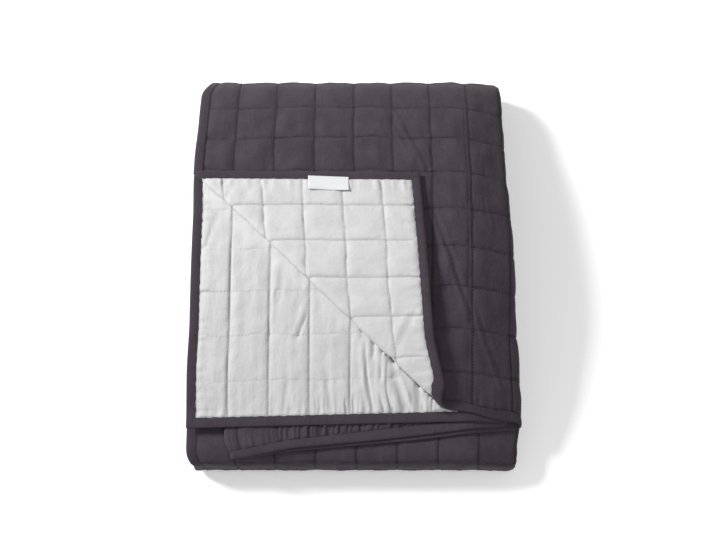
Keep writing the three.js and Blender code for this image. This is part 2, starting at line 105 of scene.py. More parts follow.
class Density(Enum):
    """How close mesh lines lie to a seam, as distances from it in millimetres."""

    FINE = (0.0, 1.1, 2.6, 5.0, 8.0, 11.0, 14.0, 17.5, 21.0)
    DENSE = (0.0, 1.1, 2.4, 4.2, 6.2, 8.3, 10.4, 12.5, 14.6, 16.7, 18.8, 20.9, 23.0)
    CLOSE = (0.0, 1.1, 2.8, 5.6, 9.5, 14.0, 19.0)
    BARE = (0.0,)


def clamp01(value: Array) -> Array:
    """Limits values to the range from 0 to 1."""
    return np.clip(value, 0.0, 1.0)


def smooth(value: Array) -> Array:
    """Eases from 0 to 1 with level ends."""
    held = clamp01(value)
    return held * held * (3.0 - 2.0 * held)


@dataclass(frozen=True)
class Ease:
    """A smooth change from 0 at its start to 1 a way farther on. A way below zero leads back."""

    start: float
    way: float

    def at(self, place: Array) -> Array:
        """The share reached at places."""
        return smooth((place - self.start) / self.way)


@dataclass(frozen=True)
class Shift:
    """A size that eases from nothing to its full measure."""

    full: float
    ease: Ease

    def at(self, place: Array) -> Array:
        """The size at places."""
        return self.full * self.ease.at(place)


@dataclass(frozen=True)
class Slope:
    """A size that changes evenly over the flat quilt."""

    at_corner: float
    per_u: float
    per_v: float

    def at(self, u: Array, v: Array) -> Array:
        """The size at flat places."""
        return self.at_corner + self.per_u * u + self.per_v * v


@dataclass(frozen=True)
class Run:
    """One straight or round run of the wound pack.

    A bend turns about (y, z) from angle through turn. A wall stands at y from z to end. A level run
    goes from y to end at height z.
    """

    kind: RunKind
    y: float
    z: float
    end: float = 0.0
    angle: float = 0.0
    turn: float = math.pi / 2
    radius: float = 0.0
    start: float = 0.0
    length: float = 0.0


@dataclass
class FoldedPack:
    """How the flat quilt lies in its folds: four leaves wound together into five panels.

    Places are x to the right, y to the back and z up. A fall lowers the top, a pull draws a side in, a
    push moves it out, and a foot is a side's lowest part. The eye is the fold inside the right side, and
    the turn is the front corner that is folded back over the top leaf.
    """

    width: float = 1550.0
    length: float = 2600.0
    column: float = 50.0
    row: float = 52.0
    binding: float = 12.0
    crown_half: float = 2.4
    leaves: int = 4
    leaf_pitch: float = 5.3
    panels: int = 5
    panel_gap: float = 1.3
    left_edge: float = -204.0
    right_edge: float = 209.0
    front_centre: float = -33.0
    front_radius: float = 27.0
    back_end: float = 475.0
    back_radius: float = 34.0
    inner_back_radius: float = 24.0
    fold_setback: float = 1.0
    crest: float = 210.0
    front_fall: float = 44.0
    front_fall_power: float = 1.8
    lip_fall: float = 0.12
    lip_soft: float = 0.1
    back_fall: float = 51.0
    back_fall_power: float = 2.87
    back_fall_way: float = 250.0
    right_fall: float = 22.0
    right_fall_from: float = 146.0
    right_fall_soft: float = 0.02
    right_fall_lost: Shift = Shift(0.6, Ease(380, 90))
    right_pull_from: float = 140.0
    right_pulls: tuple[Shift, ...] = (Shift(5, Ease(15, 90)), Shift(5, Ease(200, 130)))
    right_foot: Shift = Shift(6, Ease(-5, -25))
    right_foot_low: Ease = Ease(100, -16)
    left_side: Ease = Ease(-60, -144)
    left_pulls: tuple[Shift, ...] = (
        Shift(2.5, Ease(40, 70)), Shift(-1.5, Ease(240, 60)), Shift(2, Ease(320, 60)))
    left_foot: Shift = Shift(8, Ease(-30, -25))
    left_foot_low: Ease = Ease(50, -18)
    back_corner: Shift = Shift(11, Ease(432, 46))
    back_corner_side: Ease = Ease(-150, -54)
    back_pull: Shift = Shift(2.2, Ease(400, 75))
    front_push: Shift = Shift(1.4, Ease(-25, -30))
    front_push_low: Ease = Ease(95, -40)
    lean: Shift = Shift(8, Ease(-20, -45))
    lean_way: float = 150.0
    eye_setback: Shift = Shift(12, Ease(90, -90))
    eye_side: Ease = Ease(90, 110)
    turn_front: float = 309.0
    turn_side: float = 299.0
    turn_radius_front: float = 10.5
    turn_radius_side: float = 2.4
    turn_radius_power: float = 4.0
    turn_settle: float = 120.0
    turn_settle_power: float = 1.4
    turn_flare: Shift = Shift(10, Ease(215, 85))
    turn_flare_power: float = 3.0
    turn_press: float = 1.8
    turn_press_u: float = 120.0
    turn_press_v: float = 28.0
    turn_drawn_u: Slope = Slope(-10.0, 0.027, 0.03)
    turn_drawn_v: Slope = Slope(-8.0, 0.031, 0.044)
    droop_span: float = 75.0
    # The front ends' reach at the places of reach_u.
    reach_by: tuple[float, ...] = (0.0, 8.5, 17.0, 54.0, 69.0, 65.0, 47.0, 14.0, 10.0, 20.0)
    reach_end: float = 430.0
    reach_clear: Ease = Ease(-16, -40)
    origin: Place = (-2.46, -207.5, 0.0)

    def __post_init__(self) -> None:
        """Works out the lengths that follow from the sizes."""
        self.panel_pitch = self.leaves * self.leaf_pitch + self.panel_gap
        self.height = self.panels * self.panel_pitch
        self.outer_fold = (self.leaves - 1) / 2 * self.leaf_pitch
        self.inner_fold = self.leaf_pitch / 2
        self.right_centre = self.right_edge - self.outer_fold - self.crown_half
        self.eye_centre = self.right_centre - self.fold_setback
        folds = math.pi * (self.outer_fold + 2 * self.inner_fold)
        both_centres = self.right_centre + self.eye_centre
        short_leaves = self.width - folds - (both_centres - 2 * self.left_edge)
        self.short_centre = (both_centres - short_leaves) / 2
        self.u_outer = self.right_centre - self.left_edge
        self.u_lowest = self.u_outer + math.pi * self.outer_fold
        self.u_short = self.u_lowest + self.right_centre - self.short_centre
        self.u_third = self.u_short + math.pi * self.inner_fold
        self.u_eye = self.u_third + self.eye_centre - self.short_centre
        self.u_second = self.u_eye + math.pi * self.inner_fold
        self.reach_u = (0.0, self.u_outer, self.u_lowest, self.u_short - self.droop_span, self.u_short,
                        self.u_third, self.u_third + self.droop_span, self.u_eye, self.u_second, self.width)
        self.turn_scale = 1.0 / math.hypot(1.0 / self.turn_front, 1.0 / self.turn_side)
        self.runs = self._measured_runs()
        self.starts = [run.start for run in self.runs]

    def _plain_runs(self) -> list[Run]:
        """The runs in order from the front edge of the top leaf.

        Returns:
            The runs, not yet measured.
        """
        quarter = math.pi / 2
        pitch = self.panel_pitch
        back = self.back_end - self.back_radius
        inner_back = self.back_end - pitch - self.inner_back_radius
        inner_front = self.front_centre - self.front_radius + 2 * pitch
        third = self.height - pitch
        outer, inner, front = self.back_radius, self.inner_back_radius, self.front_radius
        return [
            Run(RunKind.LEVEL, 0.0, self.height, back),
            Run(RunKind.BEND, back, self.height - outer, angle=0.0, radius=outer),
            Run(RunKind.WALL, self.back_end, self.height - outer, outer, quarter),
            Run(RunKind.BEND, back, outer, angle=quarter, radius=outer),
            Run(RunKind.LEVEL, back, 0.0, self.front_centre),
            Run(RunKind.BEND, self.front_centre, front, angle=2 * quarter, radius=front),
            Run(RunKind.WALL, self.front_centre - front, front, third - front, 3 * quarter),
            Run(RunKind.BEND, self.front_centre, third - front, angle=3 * quarter, radius=front),
            Run(RunKind.LEVEL, self.front_centre, third, inner_back),
            Run(RunKind.BEND, inner_back, third - inner, angle=0.0, radius=inner),
            Run(RunKind.WALL, inner_back + inner, third - inner, pitch + inner, quarter),
            Run(RunKind.BEND, inner_back, pitch + inner, angle=quarter, radius=inner),
            Run(RunKind.LEVEL, inner_back, pitch, inner_front),
            Run(RunKind.BEND, inner_front, 2 * pitch, angle=2 * quarter, turn=2 * quarter, radius=pitch),
            Run(RunKind.LEVEL, inner_front, 3 * pitch, self.length),
        ]

    def _measured_runs(self) -> list[Run]:
        """Gives each run its start and length along the middle of the top leaf.

        Returns:
            The measured runs.
        """
        measured = []
        start = 0.0
        for run in self._plain_runs():
            length = abs(run.end - (run.z if run.kind is RunKind.WALL else run.y))
            if run.kind is RunKind.BEND:
                length = run.turn * (run.radius - self.crown_half)
            measured.append(replace(run, start=start, length=length))
            start += length
        return measured

    def leaf_section(self, u: Array) -> tuple[Array, Array, Array, Array]:
        """The section of the four leaves.

        Args:
            u: Places across the width.

        Returns:
            Sideways place, depth below the top leaf, and the dark face's direction as sideways and depth.
        """
        outer, inner = self.outer_fold, self.inner_fold
        lowest, third, second = 2 * outer, 2 * outer - 2 * inner, 2 * outer - 4 * inner
        out_turn = (u - self.u_outer) / outer
        short_turn = (u - self.u_short) / inner
        eye_turn = (u - self.u_eye) / inner
        flat = np.zeros_like(u)
        ends = (self.u_outer, self.u_lowest, self.u_short, self.u_third, self.u_eye, self.u_second)
        zones = [u <= end for end in ends]
        x = np.select(zones, [
            self.left_edge + u,
            self.right_centre + outer * np.sin(out_turn),
            self.right_centre - (u - self.u_lowest),
            self.short_centre - inner * np.sin(short_turn),
            self.short_centre + u - self.u_third,
            self.eye_centre + inner * np.sin(eye_turn),
        ], self.eye_centre - (u - self.u_second))
        depth = np.select(zones, [
            flat,
            outer * (1 - np.cos(out_turn)),
            flat + lowest,
            lowest - inner * (1 - np.cos(short_turn)),
            flat + third,
            third - inner * (1 - np.cos(eye_turn)),
        ], flat + second)
        face_x = np.select(
            zones, [flat, np.sin(out_turn), flat, -np.sin(short_turn), flat, -np.sin(eye_turn)], flat)
        face_depth = np.select(
            zones, [flat - 1, -np.cos(out_turn), flat + 1, np.cos(short_turn), flat - 1, -np.cos(eye_turn)],
            flat + 1)
        return x, depth, face_x, face_depth

    def winding_point(self, along: Array, depth: Array) -> tuple[Array, Array]:
        """The point at a depth below the top leaf's middle, a distance along the winding.

        Args:
            along: Distances along the winding from the top leaf's front edge.
            depth: Depths below the top leaf's middle.

        Returns:
            The places y and z.
        """
        inset = self.crown_half + depth
        radius = self.front_radius + self.panel_pitch
        droop = (self.front_centre - along) / (radius - self.crown_half)
        y = self.front_centre - (radius - inset) * np.sin(droop)
        z = self.height - radius + (radius - inset) * np.cos(droop)
        for index, run in enumerate(self.runs):
            first = self.front_centre if index == 0 else run.start
            inside = along >= first
            share = (along - run.start) / run.length
            if run.kind is RunKind.BEND:
                angle = run.angle + share * run.turn
                run_y = run.y + (run.radius - inset) * np.sin(angle)
                run_z = run.z + (run.radius - inset) * np.cos(angle)
            elif run.kind is RunKind.WALL:
                run_y = run.y - math.sin(run.angle) * inset
                run_z = run.z + share * (run.end - run.z)
            else:
                downward = -1.0 if run.end > run.y else 1.0
                run_y = run.y + share * (run.end - run.y)
                run_z = run.z + downward * inset
            y = np.where(inside, run_y, y)
            z = np.where(inside, run_z, z)
        return y, z

    def front_reach(self, u: Array, v: Array) -> Array:
        """How far forward the leaves' front ends reach."""
        clear = np.where(u < self.u_outer, self.reach_clear.at(self.turn_distance(u, v)), 1.0)
        return clear * np.interp(u, self.reach_u, self.reach_by) * clamp01(1 - v / self.reach_end)

    def turn_distance(self, u: Array, v: Array) -> Array:
        """Distance from the turned corner's fold line, above zero towards the corner."""
        return self.turn_scale * (1 - u / self.turn_front - v / self.turn_side)

    def turn_radius_at(self, v: Array) -> Array:
        """Radius of the turned corner's fold."""
        more = self.turn_radius_front - self.turn_radius_side
        return self.turn_radius_side + clamp01(1 - v / self.turn_side) ** self.turn_radius_power * more

    def turned_corner(self, u: Array, v: Array, n: Array) -> tuple[Array, Array, Array]:
        """Where the turned corner lies over the top leaf.

        Args:
            u: Places across the width.
            v: Places along the length.
            n: Places through the thickness.

        Returns:
            The places u and v that it lies over, and its height above the top leaf's middle.
        """
        radius = self.turn_radius_at(v)
        distance = self.turn_distance(u, v)
        start = -math.pi * radius / 2
        angle = np.clip((distance - start) / radius, 0.0, math.pi)
        across = start + (radius - n) * np.sin(angle)
        height = radius - (radius - n) * np.cos(angle)
        past = np.maximum(0.0, distance + start)
        fade = np.exp(-((past / self.turn_settle) ** self.turn_settle_power))
        lying = angle >= math.pi
        across = np.where(lying, -distance, across)
        press = np.exp(-((u / self.turn_press_u) ** 2) - (v / self.turn_press_v) ** 2)
        low = self.leaf_pitch - self.turn_press * press
        height = np.where(lying, low + (2 * radius - self.leaf_pitch) * fade - n, height)
        move = (distance - across) * self.turn_scale
        turned = angle / math.pi
        drawn_u = turned * self.turn_drawn_u.at(u, v)
        drawn_u = drawn_u + turned ** self.turn_flare_power * self.turn_flare.at(u)
        drawn_v = turned * self.turn_drawn_v.at(u, v)
        return u + move / self.turn_front + drawn_u, v + move / self.turn_side + drawn_v, height

    def settle(self, x: Array, y: Array, z: Array) -> Array:
        """The settled pack: its top falls to the front, back and right, and its sides shift a little.

        Args:
            x: Sideways places.
            y: Places from front to back.
            z: Heights.

        Returns:
            The settled points.
        """
        forward = (self.crest - y) / self.crest
        lip = self.lip_fall * (1 - np.exp(-np.maximum(0.0, forward - 1) / self.lip_soft))
        front = self.front_fall * (clamp01(forward) ** self.front_fall_power + lip)
        backward = np.maximum(0.0, (y - self.crest) / self.back_fall_way)
        back = self.back_fall * backward ** self.back_fall_power
        share = (x - self.right_fall_from) / (self.right_edge - self.right_fall_from)
        share = np.minimum(1.0, (share + np.sqrt(share * share + self.right_fall_soft)) / 2)
        right = self.right_fall * share * (1 - self.right_fall_lost.at(y))
        rise = 1 - (front + back + right) / self.height
        right_side = Ease(self.right_pull_from, self.right_edge - self.right_pull_from)
        inward = sum(pull.at(y) for pull in self.right_pulls)
        inward = inward + self.right_foot.at(y) * self.right_foot_low.at(z)
        x = x - inward * right_side.at(x)
        left = self.left_side.at(x)
        x = x + left * sum(pull.at(y) for pull in self.left_pulls)
        x = x + self.back_corner.at(y) * self.back_corner_side.at(x)
        x = x + left * self.left_foot.at(y) * self.left_foot_low.at(z * rise)
        y = y - self.back_pull.at(y) - self.front_push.at(y) * self.front_push_low.at(z)
        return np.stack([x, y, z * rise], axis=-1)

    def place(self, u: Array, v: Array, n: Array) -> Array:
        """The folded place of points of the flat quilt.

        Args:
            u: Places across the width, in millimetres.
            v: Places along the length, in millimetres.
            n: Places through the thickness, in millimetres.

        Returns:
            Points in the part's frame, in metres, with one more axis than the inputs.
        """
        u, v, n = np.broadcast_arrays(*(np.asarray(value, float) for value in (u, v, n)))
        turned_u, turned_v, height = self.turned_corner(u, v, n)
        turned = (u <= self.u_outer) & (v < self.turn_side + self.row)
        turned &= self.turn_distance(u, v) > -math.pi * self.turn_radius_at(v) / 2
        x, depth, face_x, face_depth = self.leaf_section(u)
        along = np.where(turned, turned_v, v - self.front_reach(u, v))
        below = np.where(turned, -height, depth + n * face_depth)
        sideways = np.where(turned, self.left_edge + turned_u, x + n * face_x)
        y, z = self.winding_point(along, below)
        drooping = (u > self.u_lowest) & (u < self.u_eye) & (v < self.reach_end)
        leftward = Ease(self.short_centre + self.lean_way, -self.lean_way).at(sideways)
        sideways = sideways + drooping * self.lean.at(along) * leftward
        inner = (u > self.u_third) & (v < self.reach_end)
        sideways = sideways - inner * self.eye_setback.at(v) * self.eye_side.at(sideways)
        return (self.settle(sideways, y, z) + np.array(self.origin)) * METRES


@dataclass(frozen=True)
class Crease:
    """A soft trough or ridge between two flat places.

    A depth below zero is a ridge. A skew above one makes one side of the trough wider and gentler: the one
    on the right going from start to end, seen on the reverse. The rim is the bank beside it, as a share.
    """

    start: tuple[float, float]
    end: tuple[float, float]
    half_width: float
    depth: float
    skew: float = 1.0
    fade: float = 0.3
    rim: float = 0.7

    def height(self, u: Array, v: Array) -> Array:
        """Height of the crease at flat places.

        Args:
            u: Places across the width.
            v: Places along the length.

        Returns:
            Heights along the outward direction.
        """
        (u0, v0), (u1, v1) = self.start, self.end
        du, dv = u1 - u0, v1 - v0
        long = math.hypot(du, dv)
        along = ((u - u0) * du + (v - v0) * dv) / (long * long)
        across = ((u - u0) * dv - (v - v0) * du) / long
        ends = Ease(-self.fade / 2, self.fade).at(along) * Ease(1 + self.fade / 2, -self.fade).at(along)
        place = (across / (self.half_width * np.where(across < 0, self.skew, 1.0))) ** 2
        return -self.depth * ends * (1 - self.rim * place) * np.exp(-place)


@dataclass(frozen=True)
class Pucker:
    """Small lifts of cloth beside a seam: none in it, full a little way off, and gone beyond their reach."""

    height: float
    start: float
    reach: float = math.inf

    def lift(self, gap: Array) -> Array:
        """The lift at distances from the seam."""
        return self.height * (1 - np.exp(-gap / self.start)) * np.exp(-gap / self.reach)


@dataclass(frozen=True)
class Bow:
    """A sideways bow of the seams near one place of the width, over a stretch of the length."""

    full: float
    centre: float
    reach: float
    rise: Ease
    fall: Ease

    def at(self, a: Array, b: Array) -> Array:
        """The move at pattern places."""
        near = np.exp(-(((a - self.centre) / self.reach) ** 2))
        return self.full * near * self.rise.at(b) * self.fall.at(b)


@dataclass(frozen=True)
class InSquare:
    """Where places lie in their quilted square, in one direction.

    The cell is the square's number, the crown the share of its full height, the gap the distance to the
    nearest seam, and bound says whether that seam is the binding's.
    """

    cell: Array
    crown: Array
    gap: Array
    bound: Array


@dataclass(frozen=True)
class SeamLook:
    """How far the seams draw in and the squares stand out on one stretch of cloth, in millimetres."""

    drop_u: float = 1.75
    drop_v: float = 1.3
    groove_u: float = 0.0
    groove_v: float = 0.0
    crown: float = 0.0
    pleat: float = 0.0

    def share(self, other: "SeamLook", part: Array) -> "SeamLook":
        """A look between this one and another, place by place.

        Args:
            other: The look where part is 1.
            part: Share of the other look at each place.

        Returns:
            The mixed look, with arrays for sizes.
        """
        names = [size.name for size in fields(self)]
        return SeamLook(*(getattr(self, name) * (1 - part) + getattr(other, name) * part for name in names))


@dataclass
class QuiltRelief:
    """The relief of the quilted squares: crowns, seams, puckers and the creases seen on the real one.

    Pattern places a and b are the flat places u and v before the seams stray. The top is the dark face of
    the top leaf, the spine its front bend, the corner the reverse that is turned up, and the second the
    reverse of the leaf beside it. Sizes are in millimetres.
    """

    pack: FoldedPack
    pressed: SeamLook = SeamLook()
    top: SeamLook = SeamLook(2.6, 1.9, 0.8, 0.6, 0.4)
    spine: SeamLook = SeamLook(1.2, 1.0, 0.6, 0.4, 0.0)
    corner: SeamLook = SeamLook(1.0, 1.0, 0.7, 0.5, 0.3)
    second: SeamLook = SeamLook(1.2, 0.15, 1.2, 0.05, 0.3, 0.17)
    outside_ease: float = 8.0
    top_back: Ease = Ease(596, -36)
    top_clear: Ease = Ease(0, -20)
    spine_start: Ease = Ease(1040, 30)
    spine_end: Ease = Ease(1200, -30)
    spine_side: Shift = Shift(0.8, Ease(365, 30))
    lower_front: Ease = Ease(70, -30)
    corner_clear: Ease = Ease(-4, 12)
    second_ease: float = 15.0
    second_back: Ease = Ease(345, -30)
    crown_power: dict[Side, float] = field(default_factory=lambda: {Side.FACE: 2.2, Side.REVERSE: 5.0})
    least_fullness: float = 0.72
    slack: float = 1.3
    groove_half: float = 1.25
    pucker: Pucker = Pucker(0.36, 1.6, 6.5)
    edge_pucker: Pucker = Pucker(1.5, 1.6, 11.0)
    hem_pucker: Pucker = Pucker(0.9, 1.5, 5.0)
    third_pucker: Pucker = Pucker(1.5, 2.5)
    third_clear: float = 36.0
    third_ease: float = 60.0
    pleat_share: float = 0.9
    pleat_front: float = 0.4
    pleat_way: float = 40.0
    # Each wave's lengths across and along, and its phase.
    pleat_waves: tuple[tuple[float, float, float], ...] = (
        (23.0, 310.0, 0.4), (16.3, -240.0, 2.1), (12.1, 420.0, 4.4), (31.0, -190.0, 5.2))
    # Length, phase and height of each wave.
    gather_waves: tuple[tuple[float, float, float], ...] = (
        (5.3, 0.4, 1.0), (7.9, 2.0, 0.9), (12.7, 4.1, 0.8))
    # Length and height of each wave, and what its seam's phase is multiplied by.
    ripple_waves: tuple[tuple[float, float, float], ...] = (
        (11.3, 1.0, 1.0), (7.1, 0.7, 2.3), (18.7, 0.8, 1.7))
    wave_level: float = 1.6
    phase_step: float = 1.9
    phase_start: float = 0.6
    row_phase: int = 3
    wrinkle: dict[Side, float] = field(default_factory=lambda: {Side.FACE: 0.58, Side.REVERSE: 0.36})
    wrinkle_count: int = 14
    wrinkle_lengths: tuple[float, float] = (20.0, 75.0)
    crease_quiet: float = 0.7
    quiet_reach: float = 3.0
    nudge_way: float = 4.0
    nudge_per_radius: float = 0.4
    nudge_under: float = 0.6
    nudge_start: Ease = Ease(-4, 3.5)
    nudge_late: Shift = Shift(3.5, Ease(7.5, -3))
    dip_depth: float = 2.2
    dip_at: float = 9.0
    least_half: float = -0.35
    edge_least_half: float = 0.3
    edge_reach: float = 14.0
    under_binding: float = 0.9
    hem_ease: float = 30.0
    fold_clear: float = 8.0
    fold_ease: float = 45.0
    unevenness: float = 0.9
    step_ease: Ease = Ease(0.42, 0.16)
    skew: Shift = Shift(8, Ease(500, 600))
    bows: tuple[Bow, ...] = (
        Bow(5.5, 1300, 24, Ease(10, 30), Ease(120, -60)),
        Bow(9, 400, 24, Ease(1070, 50), Ease(1240, -50)))
    spreads: tuple[Shift, ...] = (Shift(4.2, Ease(20, 180)), Shift(4, Ease(350, 50)))
    spread_front: Ease = Ease(10, 280)
    spread_back: Ease = Ease(700, -200)
    # Places across the width, and how far the rows' seams stray there, the front reach included.
    strays: tuple[tuple[float, float], ...] = (
        (25, -8), (69, -8), (123, -5), (173, -5.5), (224, -3), (271, -8), (327, -6), (366, -8), (391, -10),
        (430, -10), (520, 0))
    stray_clear: Ease = Ease(-10, -40)
    stray_side: Ease = Ease(520, -95)
    stray_front: Ease = Ease(14, 36)
    stray_back: Ease = Ease(480, -50)
    seed: int = 11

    def __post_init__(self) -> None:
        """Draws the fixed unevenness of the squares and lays out the creases."""
        draw = np.random.default_rng(self.seed)
        columns = int(self.pack.width / self.pack.column) + 1
        rows = int(self.pack.length / self.pack.row) + 1
        self.fullness = draw.uniform(self.least_fullness, 1.0, (columns, rows))
        self.jogs = draw.uniform(-self.unevenness, self.unevenness, rows + 1)
        self.dips = draw.uniform(-self.unevenness, self.unevenness, columns + 1)
        ranges = ((0, math.pi), self.wrinkle_lengths, (0, 2 * math.pi))
        self.wrinkle_waves = list(zip(*(draw.uniform(*span, self.wrinkle_count) for span in ranges)))
        self.creases = {Side.FACE: self._face_creases(), Side.REVERSE: self._reverse_creases()}

    def _face_creases(self) -> list[Crease]:
        """The creases of the dark face: on the top leaf, and on the front end of the third.

        Returns:
            The creases.
        """
        third = self.pack.u_third - self.pack.short_centre
        return [
            Crease((251, 414), (291, 310), 3.0, -1.5),
            Crease((257, 412), (297, 314), 2.2, 1.3),
            Crease((238, 408), (279, 322), 2.8, -1.1),
            Crease((268, 414), (304, 330), 2.8, -1.0),
            Crease((226, 300), (262, 262), 4.0, 0.5),
            Crease((297, 252), (345, 112), 3.0, -1.7),
            Crease((303, 252), (350, 118), 2.2, 1.4),
            Crease((311, 244), (345, 150), 2.8, -1.1),
            Crease((289, 226), (318, 150), 3.6, 0.9),
            Crease((352, 122), (389, 26), 3.0, -1.6),
            Crease((357, 124), (395, 30), 2.2, 1.5),
            Crease((345, 116), (361, 92), 3.2, 1.3),
            Crease((352, 100), (374, 88), 3.2, 1.0),
            Crease((345.4, 30), (345.4, 440), 2.0, 0.8),
            Crease((366, 300), (372, 236), 3.4, 0.7),
            Crease((372, 60), (392, 18), 3.6, 1.1),
            Crease((third - 95, -10), (third - 95, 70), 3.4, 3.4),
            Crease((third - 89, -10), (third - 89, 60), 3.4, -1.4),
        ]

    def _reverse_creases(self) -> list[Crease]:
        """The creases of the light reverse: on the turned corner, and on the second leaf by its far edge.

        Returns:
            The creases.
        """
        far = self.pack.width
        hem_pleats = (
            (196, 2), (207, 3), (243, 3), (254, 4), (267, 4), (278, 4), (299, -3), (160, 2), (172, 3))
        return [
            Crease((242, 50), (194, 20), 4, 1.2),
            Crease((236, 56), (190, 28), 4, -0.7),
            Crease((18, 243), (48, 262), 4, 1.1),
            Crease((30, 226), (62, 243), 4, 0.9),
            Crease((60, 206), (92, 214), 5, 0.8),
            Crease((far - 147, 128), (far - 136, 100), 1.9, 2.0),
            Crease((far - 142, 132), (far - 131, 104), 3.4, -0.9),
            Crease((far - 103, 112), (far - 98, 92), 1.9, 1.1),
            Crease((far - 109, 156), (far - 107, 144), 1.9, 1.1),
            Crease((far - 115, 175), (far - 105, 98), 5, 0.9),
            Crease((far - 213, 122), (far - 216, 96), 1.8, 3.0, 2.0),
            Crease((far - 219, 100), (far - 222, 55), 2.2, 1.5),
            Crease((far - 222, 60), (far - 231, 12), 1.8, 3.4, 2.0),
            Crease((far - 214, 90), (far - 222, 16), 4.0, -1.4),
            Crease((far - 230, 104), (far - 233, 76), 2.4, 5.0, 2.4),
            Crease((far - 244, 92), (far - 244, 50), 1.8, 2.6, 2.4),
            Crease((far - 262, 72), (far - 262, 14), 30.0, -3.6),
            Crease((far - 258, 74), (far - 262, 50), 2.2, 6.0, 4.0),
            Crease((far - 262, 54), (far - 274, 12), 2.4, 7.0, 4.0),
            Crease((far - 266, 50), (far - 278, 12), 2.6, -2.4),
            Crease((far - 284, 46), (far - 290, 12), 2.4, 6.5, 3.6),
            *(Crease((far - at, 8), (far - at + lean, 27), 1.7, 1.9) for at, lean in hem_pleats),
            Crease((far - 178, 10), (far - 172, 60), 4, 1.1),
            Crease((far - 171, 10), (far - 166, 48), 4.5, -0.8),
            Crease((far - 120, 8), (far - 124, 52), 4, 0.9),
            Crease((far - 66, 8), (far - 62, 40), 4, 0.9),
            Crease((far - 28, 250), (far - 20, 215), 3.6, 1.1),
        ]

    def _uneven(self, steps: Array, squares: Array) -> Array:
        """A seam's unevenness, which steps from one square to the next.

        Args:
            steps: The unevenness at each square.
            squares: Places counted in squares.

        Returns:
            The unevenness at the places.
        """
        cell = np.clip(np.floor(squares).astype(int), 0, len(steps) - 2)
        ease = self.step_ease.at(squares - cell)
        return steps[cell] * (1 - ease) + steps[cell + 1] * ease

    def wander(self, a: Array, b: Array) -> tuple[Array, Array]:
        """Moves pattern places to where the seams really run on the flat quilt.

        Args:
            a: Pattern places across the width.
            b: Pattern places along the length.

        Returns:
            Flat places u and v.
        """
        pack = self.pack
        hem, far_hem = Ease(pack.binding, self.hem_ease), Ease(pack.length - pack.binding, -self.hem_ease)
        inside = hem.at(a) * Ease(pack.u_outer - self.fold_clear, -self.fold_ease).at(a)
        top = self.stray_clear.at(pack.turn_distance(a, b)) * self.stray_side.at(a)
        wide = sum(spread.at(a) for spread in self.spreads)
        u = a + inside * (self._uneven(self.jogs, b / pack.row) + self.skew.at(b))
        u = u + top * wide * self.spread_front.at(b) * self.spread_back.at(b)
        u = u + sum(bow.at(a, b) for bow in self.bows)
        places, moves = np.transpose(self.strays)
        reach = pack.front_reach(a, b) * (a < pack.u_lowest)
        stray = np.minimum(np.interp(a, places, moves) + reach, 0.0)
        stray = stray * top * self.stray_front.at(b) * self.stray_back.at(b)
        return u, b + hem.at(b) * far_hem.at(b) * self._uneven(self.dips, a / pack.column) + stray

    def look(self, side: Side, a: Array, b: Array) -> tuple[SeamLook, Array]:
        """The look of the seams at places, and the share of loose unevenness there.

        Args:
            side: The cloth.
            a: Pattern places across the width.
            b: Pattern places along the length.

        Returns:
            The look, and a share that is none where the cloth is pressed between leaves.
        """
        pack = self.pack
        turn = pack.turn_distance(a, b)
        if side is Side.FACE:
            outside = Ease(pack.u_lowest + self.outside_ease, -self.outside_ease).at(a)
            top = self.top_back.at(b) * outside * self.top_clear.at(turn)
            spine = self.spine_start.at(b) * self.spine_end.at(b) * outside
            mixed = self.pressed.share(self.top, top).share(self.spine, spine)
            mixed = mixed.share(self.spine, self.spine_side.at(a) * outside)
            lower = (a > pack.u_lowest) & (a < pack.u_eye)
            return mixed, np.maximum(top + spine, lower * self.lower_front.at(b))
        corner = self.corner_clear.at(turn) * (a < pack.u_outer)
        second = Ease(pack.u_second, self.second_ease).at(a) * self.second_back.at(b)
        mixed = self.pressed.share(self.corner, corner).share(self.second, second)
        return mixed, np.maximum(corner, second)

    def _square(self, side: Side, place: Array, pitch: float, total: float) -> InSquare:
        """Where places lie in their quilted square.

        Args:
            side: The cloth.
            place: Pattern places in one direction.
            pitch: Size of a square.
            total: Size of the quilt.

        Returns:
            The places in their squares.
        """
        cell = np.floor(place / pitch + SMALL).astype(int)
        low = np.maximum(cell * pitch, self.pack.binding)
        high = np.minimum((cell + 1) * pitch, total - self.pack.binding)
        near = np.minimum(place - low, high - place)
        share = clamp01(2 * near / (high - low))
        at_low = place - low < high - place
        bound = np.where(at_low, cell == 0, (cell + 1) * pitch > total - 1)
        return InSquare(cell, 1 - (1 - share) ** self.crown_power[side], np.maximum(near, 0.0), bound)

    def ripple(self, along: Array, phase: Array) -> Array:
        """Uneven ripple of a seam that draws the cloth in.

        Args:
            along: Places along the seam.
            phase: Where the ripple starts, one for each seam.

        Returns:
            Heights of about 1.
        """
        parts = [share * np.sin(2 * math.pi * along / wave + turn * phase)
                 for wave, share, turn in self.ripple_waves]
        return sum(parts) / self.wave_level

    def _gathers(self, a: Array) -> Array:
        """Small sharp gathers of cloth that is held back by a shorter seam."""
        waves = self.gather_waves
        return sum(share * np.sin(2 * math.pi * a / wave + phase) for wave, phase, share in waves)

    def _pleats(self, a: Array, b: Array) -> Array:
        """Long soft wrinkles that run along the length, where the cloth is drawn together across it."""
        parts = [np.sin(2 * math.pi * (a / near + b / far) + phase) for near, far, phase in self.pleat_waves]
        return sum(parts) / self.wave_level

    def _wrinkles(self, a: Array, b: Array) -> Array:
        """Soft wrinkles in all directions."""
        parts = [np.sin(2 * math.pi * (a * math.cos(angle) + b * math.sin(angle)) / wave + phase)
                 for angle, wave, phase in self.wrinkle_waves]
        return sum(parts) / math.sqrt(self.wrinkle_count / 2)

